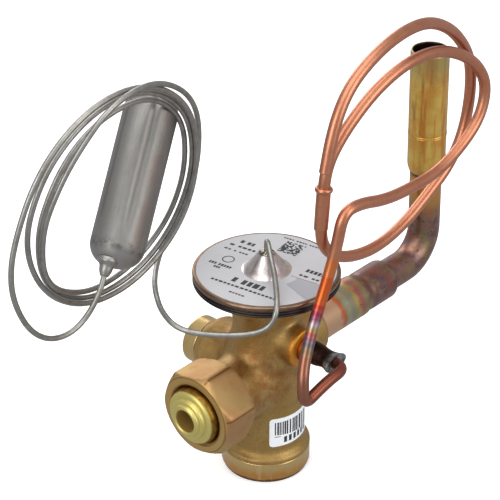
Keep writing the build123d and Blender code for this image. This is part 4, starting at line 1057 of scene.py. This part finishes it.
def make_outlet(sizes):
    """Stub with its swaged sleeve, bent elbow tube and the opened upright end."""
    # the radii of the tube and of its bend, and how far from the column's axis the elbow starts
    tube_r, bend_r, elbow_start = sizes.outlet_tube / MM / 2, 15.0, 44.8
    stub = turned("outlet_stub_tube", "outlet_copper", eased([
        (5.45, 12.4), (6.3, 12.4), (6.33, 17.0), (6.35, 39.2, 0.7), (5.8, 40.8, 0.6), (6.05, 42.4, 0.6),
        (6.05, 52.0, 0.5), (5.6, 52.75, 0.35), (4.82, 52.8), (4.82, elbow_start), (4.0, elbow_start),
        (4.0, 41.0), (5.45, 39.6),
    ]), frame_of((0, 0, OUTLET_Z), (1, 0, 0)))
    fixed(stub, "copper_dark", "outlet_stub")
    route = [Vector((x, 0, OUTLET_Z)) for x in (elbow_start, 51.0, ELBOW_CORNER.x - bend_r)]
    # control points that hold the bend to its radius
    route += [ELBOW_CORNER - Vector((bend_r * 0.42, 0, 0)), ELBOW_CORNER + LEAN * bend_r * 0.42]
    route += [ELBOW_CORNER + LEAN * bend_r, ELBOW_CORNER + LEAN * 22.0, SOCKET_FOOT + LEAN * 0.5]
    elbow = bent_tube("elbow", route, tube_r, "outlet_copper", sides=48, step=1.0)
    outer, wall = sizes.outlet_socket / MM / 2, 0.8
    ring = [
        (outer, 12.9), (outer + 0.1, 13.05), (outer + 0.1, 13.2), (outer - 0.1, 13.35), (outer + 0.1, 13.5),
        (outer + 0.1, 13.75), (outer - 0.1, 13.9), (outer + 0.04, 14.1), (outer, 14.3),
    ]
    socket = turned("socket", "outlet_copper", eased([
        (tube_r - wall, -0.4), (tube_r, -0.4), (tube_r, 0.2, 0.6), (outer - 0.05, 2.6, 0.9), (outer, 4.0),
        *ring, (outer, 39.3, 0.25), (outer - 0.25, 39.8, 0.15), (outer - wall + 0.15, 39.8, 0.12),
        (outer - wall, 39.5, 0.2), (outer - wall, 2.8, 0.6),
    ]), frame_of(SOCKET_FOOT, LEAN))
    fixed(joined("outlet_elbow_tube", ["outlet_copper"], elbow, socket), "copper_dark", "outlet_tube")


# ---------------------------------------------------------------- equaliser
# control points of the line and of its tail, and where the bead and the socket between them are
LINE_ROUTE = [
    (0, -15.0, EQUALISER_Z), (0, -21.0, EQUALISER_Z), (0, -26.6, EQUALISER_Z), (-1.9, -28.3, 43.6),
    (-5.5, -28.3, 43.4), (-11.0, -28.2, 42.2), (-17.0, -28.2, 40.4), (-16.6, -27.3, 47.0),
    (-14.0, -25.6, 51.4), (-9.4, -24.0, 58.0), (-5.2, -23.4, 65.0), (-2.0, -23.4, 72.0), (0.3, -23.8, 79.5),
    (2.0, -24.2, 88.6), (9.0, -24.4, 88.6), (19.0, -24.5, 85.6), (30.4, -24.5, 84.6), (42.5, -24.5, 84.9),
    (53.5, -24.5, 89.0), (61.5, -24.4, 95.0), (63.8, -24.0, 103.4), (59.5, -23.4, 110.6),
    (51.5, -22.8, 116.4), (41.0, -22.3, 120.4), (29.5, -21.8, 120.6), (18.6, -20.8, 116.8),
    (9.4, -20.2, 110.8), (3.0, -19.7, 104.6),
]
BEAD = Vector((-0.25, -19.5, 95.2))
SOCKET_DIR = Vector((-1.0, 0.0, -13.4)).normalized()
TAIL_ROUTE = [
    (0.4, -19.3, 77.4), (5.4, -19.0, 72.2), (13.4, -19.0, 68.6), (24.0, -19.0, 67.0), (35.8, -19.0, 69.4),
    (46.0, -19.0, 74.5), (55.5, -19.0, 79.9), (61.2, -19.0, 87.4), (63.6, -19.0, 97.8), (62.2, -19.5, 108.8),
    (56.6, -20.2, 117.0), (47.8, -21.2, 124.6), (36.8, -22.2, 129.8), (24.6, -23.4, 131.0),
    (12.8, -24.2, 129.0), (2.4, -24.5, 123.8), (-4.13, -25.2, 115.6), (-7.57, -25.67, 104.2),
]


def make_stub(sizes):
    """Pinched equaliser stub with its flared, brazed mouth."""
    # each ring: its y, its half width and its half height
    rings = [
        (-10.1, 3.15, 3.15), (-14.0, 3.18, 3.18), (-17.6, 3.18, 3.18), (-19.4, 3.1, 3.0), (-20.8, 2.85, 2.65),
        (-22.0, 3.0, 2.3), (-23.2, 3.5, 2.15), (-24.2, 4.05, 2.2), (-24.8, 4.3, 2.35), (-25.0, 4.2, 2.3),
        (-24.9, 3.6, 1.95), (-24.6, 1.9, 1.7),
    ]
    sides = 48
    angles = [2 * math.pi * k / sides for k in range(sides)]
    bm = bmesh.new()
    loop_rows(bm, [
        [Vector((wide * math.cos(angle), y, EQUALISER_Z + tall * math.sin(angle))) * MM for angle in angles]
        for y, wide, tall in rings
    ])
    stub = as_object(bm, "equaliser_port_stub", "burnt_copper", sharp=math.radians(60))
    fixed(stub, "copper_burnt", "equaliser_stub")


def clear_marks(piece):
    """Set the length marks to nought, so that no heat colour shows on this piece."""
    marks = piece.data.attributes["along"]
    marks.data.foreach_set("value", [0.0] * len(marks.data))


def make_line(sizes):
    """Equaliser line, its bead and swaged socket, and the tail that is fitted into it."""
    # the tubes' radius, how deep in the sleeve the tail starts, and how long its mouth is
    radius, tail_in, mouth_long = sizes.line_width / MM / 2, 8.1, 5.0
    line_end = [BEAD - SOCKET_DIR * 3.6, BEAD + SOCKET_DIR * 0.6]
    line = bent_tube("line", LINE_ROUTE + line_end, radius, "copper", sides=32, offset=5.0)
    sleeve = turned("sleeve", "copper", eased([
        (1.62, -0.1), (2.1, -0.05, 0.3), (2.36, 0.4, 0.35), (2.36, 0.8, 0.35), (2.1, 1.25, 0.3),
        (1.86, 1.3, 0.1), (1.9, 6.0, 2.0), (1.84, 11.6, 0.2), (1.74, 12.05, 0.1), (1.66, 12.1),
        (1.64, tail_in), (1.0, tail_in), (1.0, 0.0),
    ]), frame_of(BEAD, SOCKET_DIR), sides=40)
    last = (Vector(TAIL_ROUTE[-1]) - Vector(TAIL_ROUTE[-2])).normalized()
    stop = Vector(TAIL_ROUTE[-1]) - last * mouth_long
    tail_route = [BEAD + SOCKET_DIR * tail_in, BEAD + SOCKET_DIR * 13.1, *TAIL_ROUTE[:-1], stop]
    tail = bent_tube("tail", tail_route, radius, "copper", sides=32)
    mouth = turned("mouth", "copper", eased([
        (0.9, 0.0), (radius, 0.0), (radius, 4.85, 0.1), (radius - 0.1, mouth_long),
        (1.0, mouth_long, 0.1), (0.9, 4.8),
    ]), frame_of(stop, last), sides=32)
    for part in (sleeve, tail, mouth):
        clear_marks(part)
    fixed(joined("equaliser_line_tube", ["copper"], line, sleeve), "copper", "equaliser_line")
    fixed(joined("equaliser_tail_tube", ["copper"], tail, mouth), "copper", "equaliser_tail")


# ---------------------------------------------------------------- bulb and capillary
BULB_FOOT = Vector((-37.6, 20.5, 72.0))
BULB_WAY = Vector((-8.4, 31.9, 109.0)) - BULB_FOOT
NIPPLE_SIDE = Vector((-2.75, -0.9, 2.09))
BULB_PLACE = frame_of(BULB_FOOT, BULB_WAY, NIPPLE_SIDE)
NIPPLE_OFFSET = Vector((3.6, 0, 0))
NIPPLE = (BULB_PLACE @ (NIPPLE_OFFSET * MM)) / MM


def make_bulb(sizes):
    """Bulb with domed ends, a rolled flute up one side, and the nipple that takes the capillary."""
    length, outer, dome_r = BULB_WAY.length, sizes.bulb_width / MM / 2, 6.2
    flute_at, flute_wide, flute_deep = math.radians(32.0), 0.13, 0.5

    def fluted(angle, height, radius):
        """The radius with the flute pressed in, deepening up from the foot."""
        off = (angle - flute_at + math.pi) % (2 * math.pi) - math.pi
        depth = flute_deep * math.exp(-(off / flute_wide) ** 2) * smooth((height - 7.0) / 9.0)
        return radius - depth * min(1.0, radius / outer)

    turns = [math.pi / 2 * k / 12 for k in range(13)]
    flat, steps = outer - dome_r, 14
    profile = [
        (0.0, 0.0), *[(flat + dome_r * math.sin(a), dome_r - dome_r * math.cos(a)) for a in turns],
        *[(outer, dome_r + (length - 2 * dome_r) * k / steps) for k in range(1, steps)],
        *[(flat + dome_r * math.cos(a), length - dome_r + dome_r * math.sin(a)) for a in turns],
        (0.0, length),
    ]
    shell = turned("shell", "bulb_steel", profile, BULB_PLACE, sides=128, ring=False, press=fluted)
    neck = turned("neck", "capillary_steel", eased([
        (0.78, -3.0), (1.1, -3.0, 0.1), (1.25, -2.7, 0.15), (1.7, -1.6, 0.4), (1.9, -0.2, 0.5),
        (2.9, 0.9, 0.6), (2.6, 2.0), (0.78, 2.0),
    ], 4), frame_of(NIPPLE, BULB_WAY, NIPPLE_SIDE), sides=40)
    fixed(joined("sensing_bulb", ["bulb_steel", "capillary_steel"], shell, neck), "bulb_steel", "bulb")


COIL_CENTRE = Vector((-31.3, 24.0, 88.9))
# the winding's first control points as (angle, radius, y), then the radii of the rest, 30 degrees apart
FIRST_TURN = [
    (-30, 27.6, 30.0), (0, 30.3, 27.6), (30, 33.8, 23.0), (60, 31.0, 17.5), (90, 25.4, 15.6),
    (120, 21.0, 17.2), (150, 21.2, 18.5), (180, 25.4, 20.5), (210, 29.3, 22.5), (240, 26.2, 25.5),
]
LATER_RADII = [
    22.8, 21.4, 22.6, 24.8, 27.6, 27.0, 24.2, 23.3, 24.0, 27.4, 30.0, 28.2,
    25.5, 24.7, 25.5, 27.8, 29.4, 28.4, 26.9, 26.5, 28.2, 31.2, 31.0, 29.6,
    27.6, 27.0, 28.2, 29.3, 30.8, 29.6, 28.3, 28.0, 30.0,
]
# control points before and after the winding
LEAD_ROUTE = [
    (0, 0, 66.3), (0, 0, 69.4), (0, 0, 72.9), (-3.7, -5.0, 69.2), (-7.4, -9.6, 67.2), (-14.8, -17.0, 64.8),
    (-16.9, -16.6, 59.8), (-20.6, -12.2, 57.0), (-28.2, -3.6, 57.0), (-32.2, 2.6, 58.2), (-30.6, 9.6, 59.4),
    (-26.2, 16.2, 59.9), (-20.2, 22.9, 59.4), (-13.2, 28.6, 60.0), (-6.6, 31.9, 63.0),
]
LAST_LOOP = [
    (-69.6, 20.7, 91.8), (-71.6, 20.5, 82.2), (-70.2, 20.3, 74.0), (-66.6, 20.0, 66.2), (-61.0, 19.6, 61.2),
    (-54.0, 19.3, 60.0), (-48.0, 19.0, 63.0),
]


def turn_point(angle, radius, y):
    """A control point of the winding, whose centre drifts sideways as the turns come forward."""
    turn, forward = math.radians(angle), y - COIL_CENTRE.y
    reach = radius / math.cos(math.radians(15))
    centre_x, centre_z = COIL_CENTRE.x + 0.928 * forward, COIL_CENTRE.z - 0.737 * forward
    return centre_x + reach * math.cos(turn), y, centre_z + reach * math.sin(turn)


def make_capillary(sizes):
    """Capillary: over the head, round behind, four loose turns and into the bulb."""
    winding = [turn_point(*corner) for corner in FIRST_TURN]
    for step, radius in enumerate(LATER_RADII):
        angle = 270 + 30 * step
        y = 25.5 - 3.0 * math.sin(math.radians(angle)) - 1.9 * (angle - 360) / 360
        winding.append(turn_point(angle, radius, y))
    way = BULB_WAY.normalized()
    into_bulb = [NIPPLE + way * reach for reach in (-7.0, -3.0, 1.5)]
    route = LEAD_ROUTE + winding + LAST_LOOP + into_bulb
    radius = sizes.capillary_width / MM / 2
    piece = bent_tube("capillary_coil", route, radius, "capillary_steel", sides=16, step=0.7)
    fixed(piece, "stainless", "capillary")


# ---------------------------------------------------------------- solids that keep their own shape
def dress_nodes():
    """Give the solids that stay as they are their finishes."""
    for finish, nodes in {
        "foot_brass": ("bottom_plug",),
        "cap_brass": ("setting_spindle", "gland_nut", "spring_carrier"),
        "capillary_steel": (
            "setting_spring", "valve_cone", "valve_seat", "push_rod", "thrust_plate", "diaphragm",
            "inlet_strainer",
        ),
        "seal": ("plug_seal", "cap_seal", "spindle_packing"),
    }.items():
        for node in nodes:
            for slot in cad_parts[node].material_slots:
                slot.material = FINISHES[finish]


# ---------------------------------------------------------------- stage
def make_stage(look):
    """Pale floor, soft lights and the camera."""
    bm = bmesh.new()
    half_width = 3.0
    bmesh.ops.create_grid(bm, x_segments=4, y_segments=4, size=half_width)
    mesh = bpy.data.meshes.new("floor")
    bm.to_mesh(mesh)
    bm.free()
    floor = bpy.data.objects.new("floor", mesh)
    floor.location.z = -0.0002
    shader, here = start("floor_paper", metallic=0.0, roughness=0.9)
    shade = blotches(here, 400.0, 1.0, 0.5)
    feed(shader, Base_Color=mixed(shade * 0.05, opaque(look.floor_colour), (0.86, 0.86, 0.86, 1.0)))
    shader.inputs["Emission Color"].default_value = (1.0, 1.0, 1.0, 1.0)
    shader.inputs["Emission Strength"].default_value = look.floor_glow
    mesh.materials.append(FINISHES["floor_paper"])
    bpy.context.scene.collection.objects.link(floor)
    floor.visible_glossy = False
    world = bpy.data.worlds.new("studio")
    world.use_nodes = True
    sky = world.node_tree.nodes["Background"]
    sky.inputs[0].default_value = (0.93, 0.95, 1.0, 1.0)
    sky.inputs[1].default_value = look.sky
    bpy.context.scene.world = world
    aim = Vector((0.0, 0.0, 0.06))
    # each lamp: its place, its width and height, and its power in watts
    for name, place, width, height, power in (
        ("overhead", (-0.1, 0.0, 0.8), 0.8, 0.8, 3.6), ("left_key", (-0.8, -0.05, 0.45), 0.45, 0.6, 3.0),
        ("front_right", (0.15, -0.85, 0.45), 0.45, 0.6, 2.8), ("back", (0.4, 0.75, 0.4), 0.5, 0.4, 2.0),
    ):
        lamp = bpy.data.lights.new(name, "AREA")
        lamp.shape = "RECTANGLE"
        lamp.size, lamp.size_y, lamp.energy = width, height, power * look.lamps
        stand = bpy.data.objects.new(name, lamp)
        stand.location = place
        stand.rotation_euler = (aim - Vector(place)).to_track_quat("-Z", "Y").to_euler()
        bpy.context.scene.collection.objects.link(stand)
    camera = bpy.data.cameras.new("camera")
    camera.sensor_width = 36.0
    camera.lens = 120.5
    camera.clip_start, camera.clip_end = 0.05, 20.0
    eye = bpy.data.objects.new("camera", camera)
    eye.location = Vector((-291.8, -256.7, 295.7)) * MM
    look_down, look_across = math.radians(30.25), math.radians(-48.0)
    eye.rotation_euler = (math.pi / 2 - look_down, 0.0, look_across)
    bpy.context.scene.collection.objects.link(eye)
    bpy.context.scene.camera = eye
    bpy.context.scene.view_settings.view_transform = "Standard"


# ---------------------------------------------------------------- add-on
def length(name, description, mm):
    """A setting for a size, given in mm and kept in metres."""
    return bpy.props.FloatProperty(
        name=name, description=description, default=mm * MM, min=0.0, unit="LENGTH", precision=5
    )


def number(name, description, default):
    """A setting for a plain number, never below 0."""
    return bpy.props.FloatProperty(name=name, description=description, default=default, min=0.0)


def tint(name, description, value):
    """A setting for a colour."""
    return bpy.props.FloatVectorProperty(
        name=name, description=description, default=value[:3], size=3, subtype="COLOR", min=0.0, max=1.0
    )


class ValveSizes(bpy.types.PropertyGroup):
    """Sizes of the outside pieces"""
    foot_width: length("Foot", "Width of the turned foot band", 25.4)
    melt: number("Melt", "How softly the bosses grow out of the column, in mm", 4.0)
    cap_width: length("Cap", "Width of the cap on the setting port", 14.1)
    nut_width: length("Nut", "Width of the nut across its flats", 22.7)
    nut_corners: length("Nut corners", "Width of the nut across its rounded corners", 25.4)
    nose_hole: length("Nose bore", "Width of the hole through the nose", 6.6)
    head_width: length("Head", "Width of the diaphragm head", 40.4)
    label_width: length("Round label", "Width of the round label", 38.2)
    tag_width: length("Paper label", "Width of the paper label", 15.2)
    outlet_tube: length("Outlet tube", "Width of the elbow tube", 9.53)
    outlet_socket: length("Outlet socket", "Outside width of the opened end", 11.3)
    line_width: length("Equaliser line", "Width of the equaliser line", 3.18)
    capillary_width: length("Capillary", "Width of the capillary", 1.5)
    bulb_width: length("Bulb", "Width of the bulb", 14.7)


class ValveLook(bpy.types.PropertyGroup):
    """Colours of the finishes, and the light"""
    forging: tint("Forging", "Colour of the forged body", srgb(176, 142, 80))
    turned: tint("Turned brass", "Colour of turned brass", srgb(214, 184, 124))
    nut: tint("Nut", "Colour of the nut", srgb(190, 148, 100))
    nose: tint("Nose", "Colour of the nose", srgb(224, 210, 130))
    copper: tint("Copper", "Colour of the drawn copper", srgb(200, 130, 98))
    steel: tint("Steel", "Colour of the capillary", srgb(166, 164, 158))
    bulb: tint("Bulb", "Colour of the bulb", srgb(150, 148, 143))
    film: tint("Label film", "Colour of the round label", srgb(188, 187, 189))
    floor_colour: tint("Floor", "Colour of the floor", (0.9, 0.9, 0.9))
    floor_glow: number("Floor glow", "Light that the floor gives off", 0.45)
    sky: number("Sky", "Strength of the light from all round", 0.5)
    lamps: number("Lamps", "Strength of the soft lamps", 1.0)


def opaque(value):
    """A colour of three values with full cover as the fourth."""
    return tuple(value) + (1.0,)


class VALVE_OT_finishes(bpy.types.Operator):
    """Make every finish"""
    bl_idname = "valve.finishes"
    bl_label = "Finishes"

    def execute(self, context):
        look = context.scene.valve_look
        forged_brass(opaque(look.forging))
        turned_brass("foot_brass", opaque(look.turned), srgb(206, 156, 84), (60, 60, 1), foot=True)
        turned_brass("cap_brass", opaque(look.turned), srgb(190, 156, 92), (60, 1, 60))
        nut_brass(opaque(look.nut))
        nose_brass(opaque(look.nose))
        drawn_steel(opaque(look.steel), srgb(136, 131, 122))
        bulb_steel(opaque(look.bulb))
        head_steel(srgb(138, 112, 92))
        label_film("label_film", opaque(look.film))
        label_film("label_lap", srgb(160, 160, 165), 0.3)
        label_film("paper", srgb(214, 217, 219), 0.6)
        ink("ink", srgb(38, 38, 40))
        copper(opaque(look.copper))
        outlet_copper(srgb(166, 120, 88))
        burnt_copper()
        braze()
        seal_rubber()
        return {"FINISHED"}


class VALVE_OT_body(bpy.types.Operator):
    """Forged body with its turned foot"""
    bl_idname = "valve.body"
    bl_label = "Body"

    def execute(self, context):
        make_body(context.scene.valve_sizes)
        return {"FINISHED"}


class VALVE_OT_turned(bpy.types.Operator):
    """Cap on the setting port, stepped nose and nut"""
    bl_idname = "valve.turned"
    bl_label = "Cap, nose and nut"

    def execute(self, context):
        make_cap(context.scene.valve_sizes)
        make_nose(context.scene.valve_sizes)
        make_nut(context.scene.valve_sizes)
        return {"FINISHED"}


class VALVE_OT_head(bpy.types.Operator):
    """Diaphragm head"""
    bl_idname = "valve.head"
    bl_label = "Head"

    def execute(self, context):
        make_head(context.scene.valve_sizes)
        return {"FINISHED"}


class VALVE_OT_labels(bpy.types.Operator):
    """Round label on the head and paper label on the column"""
    bl_idname = "valve.labels"
    bl_label = "Labels"

    def execute(self, context):
        make_head_label(context.scene.valve_sizes)
        make_body_label(context.scene.valve_sizes)
        return {"FINISHED"}


class VALVE_OT_outlet(bpy.types.Operator):
    """Outlet stub and elbow tube"""
    bl_idname = "valve.outlet"
    bl_label = "Outlet"

    def execute(self, context):
        make_outlet(context.scene.valve_sizes)
        return {"FINISHED"}


class VALVE_OT_equaliser(bpy.types.Operator):
    """Equaliser stub, line and tail"""
    bl_idname = "valve.equaliser"
    bl_label = "Equaliser"

    def execute(self, context):
        make_stub(context.scene.valve_sizes)
        make_line(context.scene.valve_sizes)
        return {"FINISHED"}


class VALVE_OT_sensor(bpy.types.Operator):
    """Bulb and coiled capillary"""
    bl_idname = "valve.sensor"
    bl_label = "Bulb and capillary"

    def execute(self, context):
        make_bulb(context.scene.valve_sizes)
        make_capillary(context.scene.valve_sizes)
        return {"FINISHED"}


class VALVE_OT_solids(bpy.types.Operator):
    """Finishes on the solids that keep their own shape"""
    bl_idname = "valve.solids"
    bl_label = "Plain solids"

    def execute(self, context):
        dress_nodes()
        return {"FINISHED"}


class VALVE_OT_stage(bpy.types.Operator):
    """Floor, lights and camera"""
    bl_idname = "valve.stage"
    bl_label = "Stage"

    def execute(self, context):
        make_stage(context.scene.valve_look)
        return {"FINISHED"}


OPERATORS = (
    VALVE_OT_finishes, VALVE_OT_body, VALVE_OT_turned, VALVE_OT_head, VALVE_OT_labels, VALVE_OT_outlet,
    VALVE_OT_equaliser, VALVE_OT_sensor, VALVE_OT_solids, VALVE_OT_stage,
)


class VALVE_PT_panel(bpy.types.Panel):
    """Every piece of the valve, in order"""
    bl_label = "Expansion valve"
    bl_idname = "VALVE_PT_panel"
    bl_space_type = "VIEW_3D"
    bl_region_type = "UI"
    bl_category = "Valve"

    def draw(self, context):
        for group_name in ("valve_sizes", "valve_look"):
            settings = getattr(context.scene, group_name)
            for name in settings.__annotations__:
                self.layout.prop(settings, name)
        for operator in OPERATORS:
            self.layout.operator(operator.bl_idname)


CLASSES = (ValveSizes, ValveLook, *OPERATORS, VALVE_PT_panel)


def register():
    """Make the settings, the operators and the panel known to Blender."""
    for item in CLASSES:
        bpy.utils.register_class(item)
    bpy.types.Scene.valve_sizes = bpy.props.PointerProperty(type=ValveSizes)
    bpy.types.Scene.valve_look = bpy.props.PointerProperty(type=ValveLook)


def unregister():
    """Take them away again."""
    del bpy.types.Scene.valve_look
    del bpy.types.Scene.valve_sizes
    for item in reversed(CLASSES):
        bpy.utils.unregister_class(item)


def main():
    """Run every operator in order."""
    register()
    for operator in OPERATORS:
        area, name = operator.bl_idname.split(".")
        getattr(getattr(bpy.ops, area), name)()


if __name__ == "__main__":
    main()
